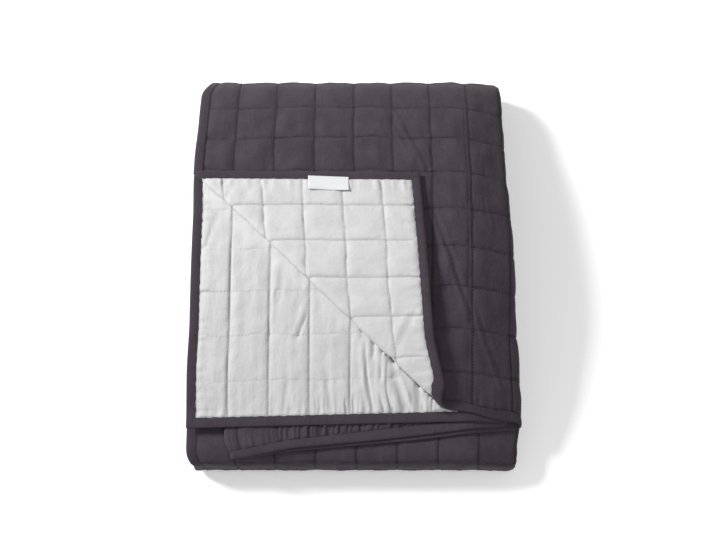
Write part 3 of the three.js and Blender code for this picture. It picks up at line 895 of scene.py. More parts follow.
    def _nudged(self, a: Array, b: Array) -> tuple[Array, Array]:
        """How the second leaf dips beside the turned corner's fold and rises against it.

        Args:
            a: Pattern places across the width.
            b: Pattern places along the length.

        Returns:
            The leaf's rise, and the share by which its seams fill up there.
        """
        pack = self.pack
        under_u = pack.eye_centre - (a - pack.u_second) - pack.left_edge
        along = b - pack.front_reach(a, b)
        radius = pack.turn_radius_at(along)
        past = pack.turn_distance(under_u, along) - pack.crown_half + (math.pi / 2 - 1) * radius
        outside = np.maximum(past, 0)
        on_second = a > pack.u_second
        full = radius + pack.leaf_pitch - pack.crown_half - self.nudge_under
        near = np.exp(-outside / (self.nudge_way + self.nudge_per_radius * radius))
        near = near * self.nudge_start.at(past + self.nudge_late.at(radius)) * on_second
        away = outside / self.dip_at
        return near * full - self.dip_depth * away * np.exp(1 - away) * on_second, near

    def _drop(self, look: SeamLook, across: InSquare, along: InSquare) -> Array:
        """How far the seams draw the quilt in below a full crown.

        Args:
            look: The look of the seams.
            across: Places in their squares across the width.
            along: Places in their squares along the length.

        Returns:
            Depths in millimetres.
        """
        columns, rows = self.fullness.shape
        full = self.fullness[np.clip(across.cell, 0, columns - 1), np.clip(along.cell, 0, rows - 1)]
        crown = across.crown * along.crown
        drop = look.drop_u * (1 - across.crown) + look.drop_v * (1 - along.crown) * np.sqrt(across.crown)
        drop = drop + look.groove_u * np.exp(-((across.gap / self.groove_half) ** 2))
        drop = drop + look.groove_v * np.exp(-((along.gap / self.groove_half) ** 2))
        return drop + (1 - full) * crown * self.slack - look.crown * np.sqrt(crown)

    def _gathered(self, side: Side, a: Array, b: Array, along: InSquare) -> Array:
        """Gathers beside the binding of the front edge, and on the front end of the third leaf.

        Args:
            side: The cloth.
            a: Pattern places across the width.
            b: Pattern places along the length.
            along: Places in their squares along the length.

        Returns:
            Heights in millimetres.
        """
        pack = self.pack
        first_row = b < pack.row
        hem = along.bound & first_row
        strength = 0.0
        if side is Side.FACE:
            hem = hem & (a < pack.u_outer)
            third = (a > pack.u_third) & (a < pack.u_eye) & first_row
            inner = Ease(pack.u_third + self.third_clear, self.third_ease).at(a)
            strength = third * self.third_pucker.lift(along.gap) * inner
        return (hem * self.hem_pucker.lift(along.gap) + strength) * self._gathers(a)

    def half(self, side: Side, a: Array, b: Array) -> Array:
        """Half thickness of the quilt at pattern places, on one side.

        Args:
            side: The cloth.
            a: Pattern places across the width.
            b: Pattern places along the length.

        Returns:
            Distances from the quilt's middle, in millimetres.
        """
        pack = self.pack
        across = self._square(side, a, pack.column, pack.width)
        along = self._square(side, b, pack.row, pack.length)
        look, loose = self.look(side, a, b)
        drop = self._drop(look, across, along)
        pleat = look.pleat * (self.pleat_share + self.pleat_front * np.exp(-b / self.pleat_way))
        lift = pleat * self._pleats(a, b) * np.sqrt(across.crown)
        for square, run, first in ((across, b, 0), (along, a, self.row_phase)):
            pucker = np.where(square.bound, self.edge_pucker.lift(square.gap), self.pucker.lift(square.gap))
            lift += pucker * self.ripple(run, (square.cell + first) * self.phase_step + self.phase_start)
        lift += self.wrinkle[side] * self._wrinkles(a, b) * np.sqrt(across.crown * along.crown)
        lift += self._gathered(side, a, b, along)
        quiet = self.crease_quiet * np.exp(-along.gap / self.quiet_reach) * along.bound
        creased = sum(crease.height(a, b) for crease in self.creases[side]) * (1 - quiet)
        least = self.least_half
        if side is Side.REVERSE:
            rise, filled = self._nudged(a, b)
            creased = np.where(creased > 0, creased * (1 - filled), creased)
            lift += rise
            drop = drop * (1 - filled)
            by_binding = [square.bound & (square.gap < self.edge_reach) for square in (across, along)]
            least = np.where(by_binding[0] | by_binding[1], self.edge_least_half, self.least_half)
        half = np.maximum(pack.crown_half - drop + loose * (lift + creased), least)
        inner = (a > pack.binding) & (a < pack.width - pack.binding)
        inner &= (b > pack.binding) & (b < pack.length - pack.binding)
        return np.where(inner, half, self.under_binding)

    def surface(self, side: Side, a: Array, b: Array, proud: float = 0.0) -> Array:
        """Points of a cloth's outer skin.

        Args:
            side: The cloth.
            a: Pattern places across the width.
            b: Pattern places along the length.
            proud: Height above the skin.

        Returns:
            Points in the part's frame, in metres.
        """
        u, v = self.wander(a, b)
        return self.pack.place(u, v, side.value * (self.half(side, a, b) + proud))


class Mould:
    """Makes mesh objects from arrays of points."""

    @staticmethod
    def mesh(name: str, points: Array, faces: Sequence[Array],
             corners: Array | None = None) -> bpy.types.Object:
        """Makes an object with smooth shading.

        Args:
            name: The piece's name.
            points: Points, one row each.
            faces: Groups of faces with the same number of corners, as rows of point numbers.
            corners: Flat pattern places of each face corner, for the UV map.

        Returns:
            The new object, at the origin.
        """
        mesh = bpy.data.meshes.new(name)
        mesh.vertices.add(len(points))
        mesh.vertices.foreach_set("co", np.ascontiguousarray(points, np.float32).ravel())
        sizes = np.concatenate([np.full(len(group), group.shape[1]) for group in faces])
        numbers = np.concatenate([group.ravel() for group in faces])
        mesh.loops.add(len(numbers))
        mesh.loops.foreach_set("vertex_index", numbers.astype(np.int32))
        mesh.polygons.add(len(sizes))
        mesh.polygons.foreach_set("loop_start", (np.cumsum(sizes) - sizes).astype(np.int32))
        mesh.polygons.foreach_set("use_smooth", np.ones(len(sizes), bool))
        if corners is not None:
            layer = mesh.uv_layers.new(name=UV_MAP)
            layer.data.foreach_set("uv", np.ascontiguousarray(corners, np.float32).ravel())
        mesh.update(calc_edges=True)
        mesh.validate()
        piece = bpy.data.objects.new(name, mesh)
        bpy.context.scene.collection.objects.link(piece)
        return piece

    @staticmethod
    def _quads(number: Array) -> Array:
        """Quads between the neighbours of a grid of point numbers."""
        quads = np.stack([number[:-1, :-1], number[:-1, 1:], number[1:, 1:], number[1:, :-1]], axis=-1)
        return quads.reshape(-1, 4)

    @classmethod
    def hemmed(cls, name: str, hem: tuple[Array, Array], body: tuple[Array, Array], shared: Array,
               side: Side) -> bpy.types.Object:
        """Makes a sheet from two grids, of which the hem's is the finer across.

        Args:
            name: The piece's name.
            hem: Points and UV places of the hem by row and column.
            body: Points and UV places of the rest, whose first row comes next to the hem's last.
            shared: The hem's column for each of the body's.
            side: The way the sheet faces.

        Returns:
            The new object.
        """
        first = np.arange(hem[0][..., 0].size).reshape(hem[0].shape[:2])
        rest = np.arange(body[0][..., 0].size).reshape(body[0].shape[:2]) + first.size
        last = first[-1]
        owner = np.searchsorted(shared, np.arange(len(last) - 1), side="right") - 1
        ends = shared[1:] - 1
        between = np.setdiff1d(np.arange(len(last) - 1), ends)
        joins = np.stack([last[ends], last[ends + 1], rest[0, 1:], rest[0, :-1]], axis=-1)
        fans = np.stack([last[between], last[between + 1], rest[0, owner[between]]], axis=-1)
        faces = [np.concatenate([cls._quads(first), cls._quads(rest), joins]), fans]
        if side is Side.REVERSE:
            faces = [group[:, ::-1] for group in faces]
        points = np.concatenate([hem[0].reshape(-1, 3), body[0].reshape(-1, 3)])
        flat = np.concatenate([hem[1].reshape(-1, 2), body[1].reshape(-1, 2)])
        return cls.mesh(name, points, faces, np.concatenate([flat[group].reshape(-1, 2) for group in faces]))

    @classmethod
    def hoop(cls, name: str, sections: Array, flat: Array) -> bpy.types.Object:
        """Makes an open strip from sections that run round and back to the first.

        Args:
            name: The piece's name.
            sections: Points by station and place across the strip.
            flat: UV places by station and place, with one more station than the points.

        Returns:
            The new object.
        """
        stations, places = sections.shape[:2]
        i, j = np.meshgrid(np.arange(stations), np.arange(places - 1), indexing="ij")
        here, after = i * places + j, (i + 1) % stations * places + j
        faces = np.stack([here, here + 1, after + 1, after], axis=-1)
        corners = np.stack([flat[i, j], flat[i, j + 1], flat[i + 1, j + 1], flat[i + 1, j]], axis=-2)
        return cls.mesh(name, sections.reshape(-1, 3), [faces.reshape(-1, 4)], corners.reshape(-1, 2))


class Wire:
    """A value on its way between nodes. Arithmetic on it adds Math nodes."""

    def __init__(self, board: "NodeBoard", socket: bpy.types.NodeSocket) -> None:
        """Wraps an output socket of a board's node."""
        self.board = board
        self.socket = socket

    def _with(self, operation: str, *values: "Wire | float") -> "Wire":
        """Adds one Math node over the values."""
        sockets = dict(enumerate(values))
        return self.board.wire(self.board.node("ShaderNodeMath", {"operation": operation}, sockets))

    def __add__(self, other: "Wire | float") -> "Wire":
        """Sum."""
        return self._with("ADD", self, other)

    __radd__ = __add__

    def __sub__(self, other: "Wire | float") -> "Wire":
        """Difference."""
        return self._with("SUBTRACT", self, other)

    def __rsub__(self, other: float) -> "Wire":
        """Difference from a number."""
        return self._with("SUBTRACT", other, self)

    def __mul__(self, other: "Wire | float") -> "Wire":
        """Product."""
        return self._with("MULTIPLY", self, other)

    __rmul__ = __mul__

    def __truediv__(self, other: "Wire | float") -> "Wire":
        """Quotient."""
        return self._with("DIVIDE", self, other)

    def sine(self) -> "Wire":
        """Sine of the value."""
        return self._with("SINE", self)

    def size(self) -> "Wire":
        """The value without its sign."""
        return self._with("ABSOLUTE", self)

    def fraction(self) -> "Wire":
        """The value's part after the point."""
        return self._with("FRACT", self)

    def exponential(self) -> "Wire":
        """e to the value."""
        return self._with("EXPONENT", self)

    def least(self, other: "Wire | float") -> "Wire":
        """The smaller of two values."""
        return self._with("MINIMUM", self, other)

    def held(self) -> "Wire":
        """The value limited to the range from 0 to 1."""
        return self._with("MINIMUM", self._with("MAXIMUM", self, 0.0), 1.0)


class NodeBoard:
    """A node tree, with one method that adds any node."""

    def __init__(self, tree: bpy.types.NodeTree) -> None:
        """Takes a tree to add nodes to."""
        self.tree = tree

    def node(self, kind: str, settings: dict[str, Any] | None = None,
             sockets: dict[int | str, Any] | None = None) -> bpy.types.Node:
        """Adds a node.

        Args:
            kind: The node's type.
            settings: Its properties, set first.
            sockets: Its inputs by name or number, each a value or a Wire.

        Returns:
            The new node.
        """
        made = self.tree.nodes.new(kind)
        for key, value in (settings or {}).items():
            setattr(made, key, value)
        for key, value in (sockets or {}).items():
            if isinstance(value, Wire):
                self.tree.links.new(value.socket, made.inputs[key])
            else:
                made.inputs[key].default_value = value
        return made

    def wire(self, node: bpy.types.Node, output: int | str = 0) -> Wire:
        """Takes a node's output as a value."""
        return Wire(self, node.outputs[output])


class ShaderBoard(NodeBoard):
    """A material's node tree."""

    def __init__(self, name: str) -> None:
        """Makes an empty material.

        Args:
            name: The finish's name.
        """
        self.material = bpy.data.materials.new(name)
        self.material.use_nodes = True
        super().__init__(self.material.node_tree)
        self.tree.nodes.clear()

    def noise(self, vector: Wire, scale: float, detail: float, roughness: float = 0.55) -> Wire:
        """Noise from 0 to 1 over a vector."""
        return self.wire(self.node("ShaderNodeTexNoise", {}, {
            "Vector": vector, "Scale": scale, "Detail": detail, "Roughness": roughness}))

    def patches(self, a: Wire, b: Wire, sizes: tuple[float, float], detail: float) -> Wire:
        """Noise from 0 to 1 over flat places.

        Args:
            a: Places across the width.
            b: Places along the length.
            sizes: Sizes of a patch across and along.
            detail: How many finer layers it has.

        Returns:
            The noise.
        """
        vector = self.node("ShaderNodeCombineXYZ", {}, {"X": a / sizes[0], "Y": b / sizes[1]})
        return self.noise(self.wire(vector), 1.0, detail)

    def blend(self, low: Wire | Colour, high: Colour, share: Wire) -> Wire:
        """A colour between two.

        Args:
            low: The colour where share is 0.
            high: The colour where share is 1.
            share: How far it is from the first to the second.

        Returns:
            The mixed colour.
        """
        first = low if isinstance(low, Wire) else (*low, 1.0)
        mixed = self.node("ShaderNodeMix", {"data_type": "RGBA", "clamp_factor": True}, {
            MIX_SHARE: share, MIX_LOW: first, MIX_HIGH: (*high, 1.0)})
        return self.wire(mixed, MIX_COLOUR)

    def bump(self, height: Wire, strength: float, distance: float) -> Wire:
        """The direction of a surface with a fine relief, whose distance is in metres."""
        return self.wire(self.node("ShaderNodeBump", {}, {
            "Strength": strength, "Distance": distance, "Height": height}))

    def flat_places(self, width: float, length: float) -> tuple[Wire, Wire]:
        """The flat places of the piece's own UV map, in millimetres.

        Args:
            width: Size of the whole map across.
            length: Size of the whole map along.

        Returns:
            Places across and along.
        """
        mapped = self.wire(self.node("ShaderNodeUVMap", {"uv_map": UV_MAP}))
        parts = self.node("ShaderNodeSeparateXYZ", {}, {0: mapped})
        return self.wire(parts, 0) * width, self.wire(parts, 1) * length

    def shade(self, sockets: dict[int | str, Any]) -> bpy.types.Material:
        """Ends the board in one Principled shader.

        Args:
            sockets: The shader's inputs.

        Returns:
            The material.
        """
        principled = self.node("ShaderNodeBsdfPrincipled", {}, sockets)
        self.node("ShaderNodeOutputMaterial", {}, {0: self.wire(principled)})
        return self.material


@dataclass(frozen=True)
class CottonFinish:
    """Matt woven cotton with uneven yarn and painted shade in its seams. Sizes are in millimetres.

    The lines are the shares of the painted seam shade in the seams along the length and those across it. The
    second lines hold from a place of the width on. A tone is how far one unevenness shifts the colour
    between deep and pale.
    """

    name: str
    deep: Colour
    pale: Colour
    width: float
    length: float
    # The line fields paint shade into the seams: its colour, its shares, how fast it fades and how patchy it
    # is.
    line: Colour = (0.01, 0.008, 0.01)
    lines: tuple[float, float] = (0.0, 0.0)
    second_lines: tuple[float, float] = (0.0, 0.0)
    second_from: float = 1100.0
    second_way: float = 10.0
    line_fall: float = 1.25
    line_patch: float = 17.0
    line_contrast: float = 3.4
    line_level: float = 0.62
    bound: float = 12.0
    # The edge line is painted shade along the binding's inner edge, fading by edge_fall.
    edge_line: float = 0.8
    edge_fall: float = 0.9
    column: float = 50.0
    row: float = 52.0
    yarn: float = 0.62
    over_sharp: float = 2.0
    slub_thick: float = 0.8
    slub_long: float = 14.0
    mottle_size: float = 30.0
    grain_size: float = 1.9
    slub_tone: float = 0.6
    mottle_tone: float = 0.5
    grain_tone: float = 0.55
    weave_tone: float = 0.12
    crinkle_sizes: tuple[float, float] = (7.0, 11.0)
    crinkle: float = 3.2
    weave_relief: float = 0.2
    slub_relief: float = 0.25
    bump_strength: float = 0.6
    bump_distance: float = 0.0004
    roughness: float = 0.86
    slub_roughness: float = 0.16
    sheen: float = 0.05
    sheen_roughness: float = 0.45
    specular: float = 0.15

    @staticmethod
    def _gap(place: Wire, pitch: float) -> Wire:
        """Distance from places to the nearest seam."""
        return ((place / pitch + 0.5).fraction() - 0.5).size() * pitch

    def _seam(self, board: ShaderBoard, a: Wire, b: Wire) -> Wire:
        """Painted shade in the drawn-in seams and along the binding, of which the shade in the seams between
        the rows is patchy.

        Args:
            board: The material's board.
            a: Flat places across the width.
            b: Flat places along the length.

        Returns:
            The share of the painted shade colour.
        """
        patchy = board.patches(a, b, (self.line_patch, self.line_patch), detail=2.0)
        uneven = ((patchy - 0.5) * self.line_contrast + self.line_level).held()
        second = ((a - self.second_from) * (1 / self.second_way)).held()
        deep_a, deep_b = (
            first + second * (other - first) for first, other in zip(self.lines, self.second_lines))
        near_a = (self._gap(a, self.column) * -self.line_fall).exponential()
        near_b = (self._gap(b, self.row) * -self.line_fall).exponential()
        edge_a = a.least(self.width - a) - self.bound
        edge_b = b.least(self.length - b) - self.bound
        edge = (edge_a.least(edge_b).size() * -self.edge_fall).exponential()
        return (near_a * deep_a + near_b * deep_b * uneven + edge * self.edge_line).held()

    def material(self) -> bpy.types.Material:
        """Makes the cotton.

        Returns:
            The material.
        """
        board = ShaderBoard(self.name)
        a, b = board.flat_places(self.width, self.length)
        warp, weft = ((place * (math.pi / self.yarn)).sine() for place in (a, b))
        over = (warp * weft * self.over_sharp + 0.5).held()
        weave = over * warp.size() + (1 - over) * weft.size()
        slub_a = board.patches(a, b, (self.slub_thick, self.slub_long), detail=2.0)
        slub_b = board.patches(a, b, (self.slub_long, self.slub_thick), detail=2.0)
        slub = slub_a * 0.5 + slub_b * 0.5
        mottle = board.patches(a, b, (self.mottle_size, self.mottle_size), detail=4.0)
        grain = board.patches(a, b, (self.grain_size, self.grain_size), detail=3.0)
        share = (slub - 0.5) * self.slub_tone + (mottle - 0.5) * self.mottle_tone
        share = share + (grain - 0.5) * self.grain_tone + (weave - 0.5) * self.weave_tone + 0.5
        colour = board.blend(self.deep, self.pale, share.held())
        # Paints the seams' shade and the shade along the binding into the colour.
        if max(*self.lines, *self.second_lines) > 0:
            colour = board.blend(colour, self.line, self._seam(board, a, b))
        crinkle = board.patches(a, b, self.crinkle_sizes, detail=3.0)
        relief = weave * self.weave_relief + slub * self.slub_relief + crinkle * self.crinkle
        return board.shade({
            "Base Color": colour,
            "Roughness": (self.roughness + (slub - 0.5) * self.slub_roughness).held(),
            "Normal": board.bump(relief, self.bump_strength, self.bump_distance),
            "Sheen Weight": self.sheen,
            "Sheen Roughness": self.sheen_roughness,
            "Specular IOR Level": self.specular,
        })


@dataclass(frozen=True)
class ThreadFinish:
    """Spun sewing thread with a slight shine."""

    name: str
    deep: Colour
    pale: Colour
    fibres: float = 2600.0
    roughness: float = 0.6
    fibre_roughness: float = 0.2
    bump_strength: float = 0.4
    bump_distance: float = 0.0001

    def material(self) -> bpy.types.Material:
        """Makes the thread.

        Returns:
            The material.
        """
        board = ShaderBoard(self.name)
        places = board.wire(board.node("ShaderNodeTexCoord"), "Object")
        fibre = board.noise(places, self.fibres, detail=2.0)
        return board.shade({
            "Base Color": board.blend(self.deep, self.pale, fibre),
            "Roughness": (self.roughness + (fibre - 0.5) * self.fibre_roughness).held(),
            "Normal": board.bump(fibre, self.bump_strength, self.bump_distance),
        })


@dataclass(frozen=True)
class LabelFinish:
    """Smooth white woven tape with fine ribs along its length. Sizes are in millimetres."""

    name: str
    deep: Colour
    pale: Colour
    width: float
    length: float
    rib: float = 0.45
    rib_tone: float = 0.35
    yarn_sizes: tuple[float, float] = (0.5, 6.0)
    roughness: float = 0.42
    yarn_roughness: float = 0.2
    bump_strength: float = 0.35
    bump_distance: float = 0.00008
    sheen: float = 0.1

    def material(self) -> bpy.types.Material:
        """Makes the tape.

        Returns:
            The material.
        """
        board = ShaderBoard(self.name)
        a, b = board.flat_places(self.width, self.length)
        rib = (a * (2 * math.pi / self.rib)).sine() * 0.5 + 0.5
        yarn = board.patches(a, b, self.yarn_sizes, detail=2.0)
        share = rib * self.rib_tone + yarn * (1 - self.rib_tone)
        return board.shade({
            "Base Color": board.blend(self.deep, self.pale, share.held()),
            "Roughness": (self.roughness + yarn * self.yarn_roughness).held(),
            "Normal": board.bump(share, self.bump_strength, self.bump_distance),
            "Sheen Weight": self.sheen,
        })


@dataclass
class ClothSkin:
    """One cloth of the quilt as a thin sheet on its folds.

    The mesh is fine where the cloth shows, finest across the gathers of the front hem, and bare inside.
    """

    relief: QuiltRelief
    side: Side
    name: str
    slot: str
    tuck: float = 8.5
    tuck_line: float = 11.0
    edge_lines: int = 6
    fold_lines: tuple[int, int, int] = (12, 8, 6)
    bend_lines: int = 11
    closest: float = 0.8
    hem: float = 60.0
    hem_step: float = 1.5
    face_creased: tuple[float, float] = (205.0, 398.0)
    second_shown: float = 345.0
    second_creased: tuple[float, float] = (300.0, 100.0)
    second_gathered: tuple[float, float] = (310.0, 150.0)
    turn_margin: float = 8.0

    @staticmethod
    def _seam_lines(start: float, end: float, pitch: float, density: Density) -> list[float]:
        """Mesh lines from start to end, close to each seam.

        Args:
            start: First place.
            end: Last place.
            pitch: Distance between seams.
            density: How close the lines lie.

        Returns:
            The places of the lines.
        """
        lines = [start, end]
        for seam in range(int(start // pitch), int(end // pitch) + 2):
            for away in (*density.value, pitch / 2):
                lines += [seam * pitch - away, seam * pitch + away]
        return [line for line in lines if start <= line <= end]

    def _edge_lines(self, total: float) -> list[float]:
        """Mesh lines under and beside the binding, at both ends of one direction.

        Args:
            total: Size of the quilt in this direction.

        Returns:
            The places of the lines.
        """
        beside = [self.relief.pack.binding + away for away in Density.FINE.value[:self.edge_lines]]
        near = [self.tuck, self.tuck_line, *beside]
        return [*near, *(total - place for place in near)]

    def _tidied(self, lines: Sequence[float]) -> Array:
        """Sorted lines without those that nearly coincide.

        Args:
            lines: Places in any order.

        Returns:
            The places that are kept.
        """
        kept: list[float] = []
        for line in sorted(lines):
            if not kept or line - kept[-1] > self.closest:
                kept.append(line)
        return np.array(kept)

    def columns(self) -> Array:
        """Places of the mesh lines across the width.

        Returns:
            The places in order.
        """
        pack = self.relief.pack
        far = pack.width - self.tuck
        outer, short, eye = self.fold_lines
        fine_from, fine_to, far_density = pack.u_outer, far, Density.BARE
        creased = self.face_creased
        if self.side is Side.REVERSE:
            fine_from, fine_to = pack.turn_front + self.turn_margin, pack.width - self.second_shown
            far_density = Density.FINE
            creased = tuple(pack.width - place for place in self.second_creased)
        lines = [
            *self._edge_lines(pack.width),
            *np.linspace(pack.u_outer, pack.u_lowest, outer),
            *np.linspace(pack.u_short, pack.u_third, short),
            *np.linspace(pack.u_eye, pack.u_second, eye),
        ]
        zones = [
            (pack.binding, fine_from, Density.FINE),
            (fine_from, pack.u_outer, Density.BARE),
            (pack.u_lowest, pack.u_short, Density.BARE),
            (pack.u_third, pack.u_eye, Density.BARE),
            (pack.u_second, fine_to, Density.BARE),
            (fine_to, far, far_density),
            (*creased, Density.DENSE),
        ]
        for start, end, density in zones:
            lines += self._seam_lines(start, end, pack.column, density)
        return self._tidied(lines)

    def rows(self) -> Array:
        """Places of the mesh lines along the length.

        Returns:
            The places in order.
        """
        pack = self.relief.pack
        far = pack.length - self.tuck
        starts = pack.starts
        bends = [(Stretch.INNER_BACK_UPPER, Stretch.OVER_UNDERSIDE), (Stretch.INNER_FRONT, Stretch.INSIDE)]
        if self.side is Side.FACE:
            under, front, inside = (
                starts[stretch] for stretch in (Stretch.UNDERSIDE, Stretch.FRONT_LOWER, Stretch.UNDER_TOP))
            zones = [(pack.binding, under, Density.CLOSE), (under, front, Density.BARE),
                     (front, inside, Density.CLOSE), (inside, far, Density.BARE)]
        else:
            zones = [(pack.binding, self.second_shown, Density.FINE), (self.second_shown, far, Density.BARE)]
            bends += [(Stretch.BACK_UPPER, Stretch.UNDERSIDE), (Stretch.FRONT_LOWER, Stretch.UNDER_TOP)]
        lines = self._edge_lines(pack.length)
        for start, end, density in zones:
            lines += self._seam_lines(start, end, pack.row, density)
        for first, last in bends:
            lines += list(np.linspace(starts[first], starts[last], self.bend_lines))
        return self._tidied(lines)

    def _hem_columns(self, columns: Array) -> Array:
        """The columns of the hem, with those between that its gathers need.

        Args:
            columns: The columns of the rest.

        Returns:
            The places in order.
        """
        pack = self.relief.pack
        low, high = pack.u_third, pack.u_eye
        if self.side is Side.REVERSE:
            low, high = (pack.width - place for place in self.second_gathered)
        between = np.arange(low, high, self.hem_step)
        apart = np.abs(between[:, None] - columns[None, :]).min(axis=1)
        return np.union1d(columns, between[apart > self.hem_step / 3])

    def build(self) -> bpy.types.Object:
        """Makes the sheet.

        Returns:
            The sheet.
        """
        pack = self.relief.pack
        columns, rows = self.columns(), self.rows()
        finer = self._hem_columns(columns)
        turn = int(np.searchsorted(rows, self.hem)) + 1
        grids = []
        for across, along in ((finer, rows[:turn]), (columns, rows[turn:])):
            a, b = np.meshgrid(across, along)
            flat = np.stack([a / pack.width, b / pack.length], -1)
            grids.append((self.relief.surface(self.side, a, b), flat))
        self.piece = Mould.hemmed(self.name, *grids, np.searchsorted(finer, columns), self.side)
        return self.piece

    def dress(self, finish: CottonFinish, stitches: list[bpy.types.Object]) -> None:
        """Gives the sheet its finish, hangs it on the body and hides its part of the model.

        Args:
            finish: The cotton.
            stitches: The stitching on this cloth. Not used.
        """
        pack = self.relief.pack
        self.piece.data.materials.append(finish.material())
        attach(self.piece, BODY)
        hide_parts(self.slot)
        flat = (pack.width * METRES, pack.length * METRES)


@dataclass
class Binding:
    """The dark strip folded over all four edges, puckered along its seam, with mitred corners.

    The section runs from the seam to the edge, as distances in from the edge and through the thickness.
    """

    relief: QuiltRelief
    name: str = "binding_strip"
    slot: str = "binding"
    front_step: float = 3.2
    side_step: float = 4.16
    hidden_step: float = 13.0
    cut: float = 27.0
    section: tuple[tuple[float, float], ...] = (
        (12.0, 0.5), (11.7, 1.15), (10.7, 1.0), (9.3, 1.5), (6.5, 1.85), (3.6, 1.9), (1.5, 1.55), (0.4, 0.9))
    wobble: float = 0.035
    wobble_phase: float = 0.9
    plump: float = 0.1
    plump_phase: float = 2.2

    def _inward(self, places: Array, total: float) -> Array:
        """The way inwards in one direction, which the mitre turns near the corners.

        Args:
            places: Edge places in this direction.
            total: Size of the quilt in this direction.

        Returns:
            The share of a step inwards, with its sign.
        """
        near = np.minimum(places, total - places)
        return clamp01(1 - near / self.relief.pack.binding) * np.where(places < total / 2, 1.0, -1.0)

    def _stations(self) -> tuple[Array, Array, Array]:
        """Places round the edge, with the mitre at each corner.

        Returns:
            Edge places, the way inwards at each, and the distance run so far.
        """
        width, length = self.relief.pack.width, self.relief.pack.length
        front = np.linspace(0, width, int(width / self.front_step))
        side = np.linspace(0, length, int(length / self.side_step))
        far = np.linspace(0, width, int(width / self.hidden_step))
        edges = np.concatenate([
            np.stack([front, np.zeros_like(front)], -1)[:-1],
            np.stack([np.full_like(side, width), side], -1)[:-1],
            np.stack([far[::-1], np.full_like(far, length)], -1)[:-1],
            np.stack([np.zeros_like(side), side[::-1]], -1)[:-1],
        ])
        inward = np.stack([self._inward(edges[:, 0], width), self._inward(edges[:, 1], length)], -1)
        run = np.concatenate([[0.0], np.cumsum(np.linalg.norm(np.diff(edges, axis=0), axis=1))])
        return edges, inward, run

    def _uneven(self, share: float, run: Array, phase: float) -> Array:
        """A factor that varies along the strip."""
        return (1 + share * self.relief.ripple(run, np.full_like(run, phase)))[:, None]

    def build(self) -> bpy.types.Object:
        """Makes the strip.

        Returns:
            The strip.
        """
        edges, inward, run = self._stations()
        outline = [*self.section, (0.0, 0.0), *((t, -n) for t, n in reversed(self.section))]
        away, through = np.transpose(outline)
        away = away * self._uneven(self.wobble, run, self.wobble_phase)
        through = through * self._uneven(self.plump, run, self.plump_phase)
        u = edges[:, :1] + inward[:, :1] * away
        v = edges[:, 1:] + inward[:, 1:] * away
        sections = self.relief.pack.place(u, v, through)
        total = run[-1] + self.front_step
        shares = np.append(run, total) / total
        places = np.linspace(0.0, 1.0, len(outline))
        flat = np.stack(np.meshgrid(shares, places, indexing="ij"), axis=-1)
        self.piece = Mould.hoop(self.name, sections, flat)
        return self.piece

    def dress(self, finish: CottonFinish, stitches: list[bpy.types.Object]) -> None:
        """Gives the strip its finish, hangs it on the body and hides its part of the model.

        Args:
            finish: The cotton tape.
            stitches: The stitching on it. Not used.
        """
        pack = self.relief.pack
        self.piece.data.materials.append(finish.material())
        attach(self.piece, BODY)
        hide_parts(self.slot)
        round_edge = 2 * (pack.width + pack.length) * METRES


@dataclass
class Label:
    """The blank woven label, sewn down along the binding and lying loose on the reverse.

    Eases across it run from 0 at its sewn side to 1 at its loose one, and those along it from end to end.
    """

    relief: QuiltRelief
    name: str = "label_tape"
    slot: str = "label"
    start: float = 94.0
    length: float = 53.0
    edge: float = 8.5
    width: float = 20.5
    lie: float = 2.75
    thickness: float = 0.55
    tilt: float = 0.04
    curl: Shift = Shift(1.6, Ease(0.55, 0.45))
    curl_middle: float = 0.45
    curl_ends: Ease = Ease(0, 0.55)
    sewn: Shift = Shift(0.5, Ease(0.25, -0.25))
    wave: float = 0.25
    wave_turn: float = 5.0
    wave_phase: float = 0.6
    lines_across: int = 15
    lines_along: int = 37

    def _sections(self, s: Array, t: Array) -> Array:
        """Closed sections of the tape: its upper side, and back along its lower one.

        Args:
            s: Shares across the label.
            t: Shares along the label.

        Returns:
            Points by place along the label and place round it.
        """
        curl = self.curl.at(s) * self.curl_ends.at(np.abs(t - self.curl_middle))
        wave = self.wave * np.sin(self.wave_turn * t + self.wave_phase) * s
        height = self.lie + curl + wave - self.sewn.at(s)
        u = self.edge + self.width * s - self.tilt * self.length * (t - 0.5)
        v = self.start + self.length * t + self.tilt * self.width * (s - 0.5)
        upper = self.relief.pack.place(u, v, -(height + self.thickness))
        under = self.relief.pack.place(u, v, -height)
        return np.concatenate([upper, under[:, ::-1]], axis=1)

    def build(self) -> bpy.types.Object:
        """Makes the label as a closed strip of tape.

        Returns:
            The label.
        """
        s, t = np.meshgrid(np.linspace(0, 1, self.lines_across), np.linspace(0, 1, self.lines_along))
        sections = self._sections(s, t)
        stations, places = sections.shape[:2]
        number = np.arange(stations * places).reshape(stations, places)
        after = np.roll(number, -1, axis=1)
        walls = np.stack([number[:-1], number[1:], after[1:], after[:-1]], -1).reshape(-1, 4)
        half = places // 2
        ends = []
        for row, flip in ((number[0], False), (number[-1], True)):
            back = row[::-1]
            strip = np.stack([row[:half - 1], row[1:half], back[1:half], back[:half - 1]], -1)
            ends.append(strip[:, ::-1] if flip else strip)
        faces = np.concatenate([walls, *ends])
        top = np.stack([s * 0.5, t], -1)
        below = np.stack([1 - s[:, ::-1] * 0.5, t], -1)
        flat = np.concatenate([top, below], axis=1).reshape(-1, 2)
        self.piece = Mould.mesh(self.name, sections.reshape(-1, 3), [faces], flat[faces].reshape(-1, 2))
        return self.piece

    def dress(self, finish: LabelFinish) -> None:
        """Gives the label its finish, hangs it on the body and hides its part of the model.

        Args:
            finish: The tape.
        """
        self.piece.data.materials.append(finish.material())
        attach(self.piece, BODY)
        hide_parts(self.slot)
        self.width * METRES


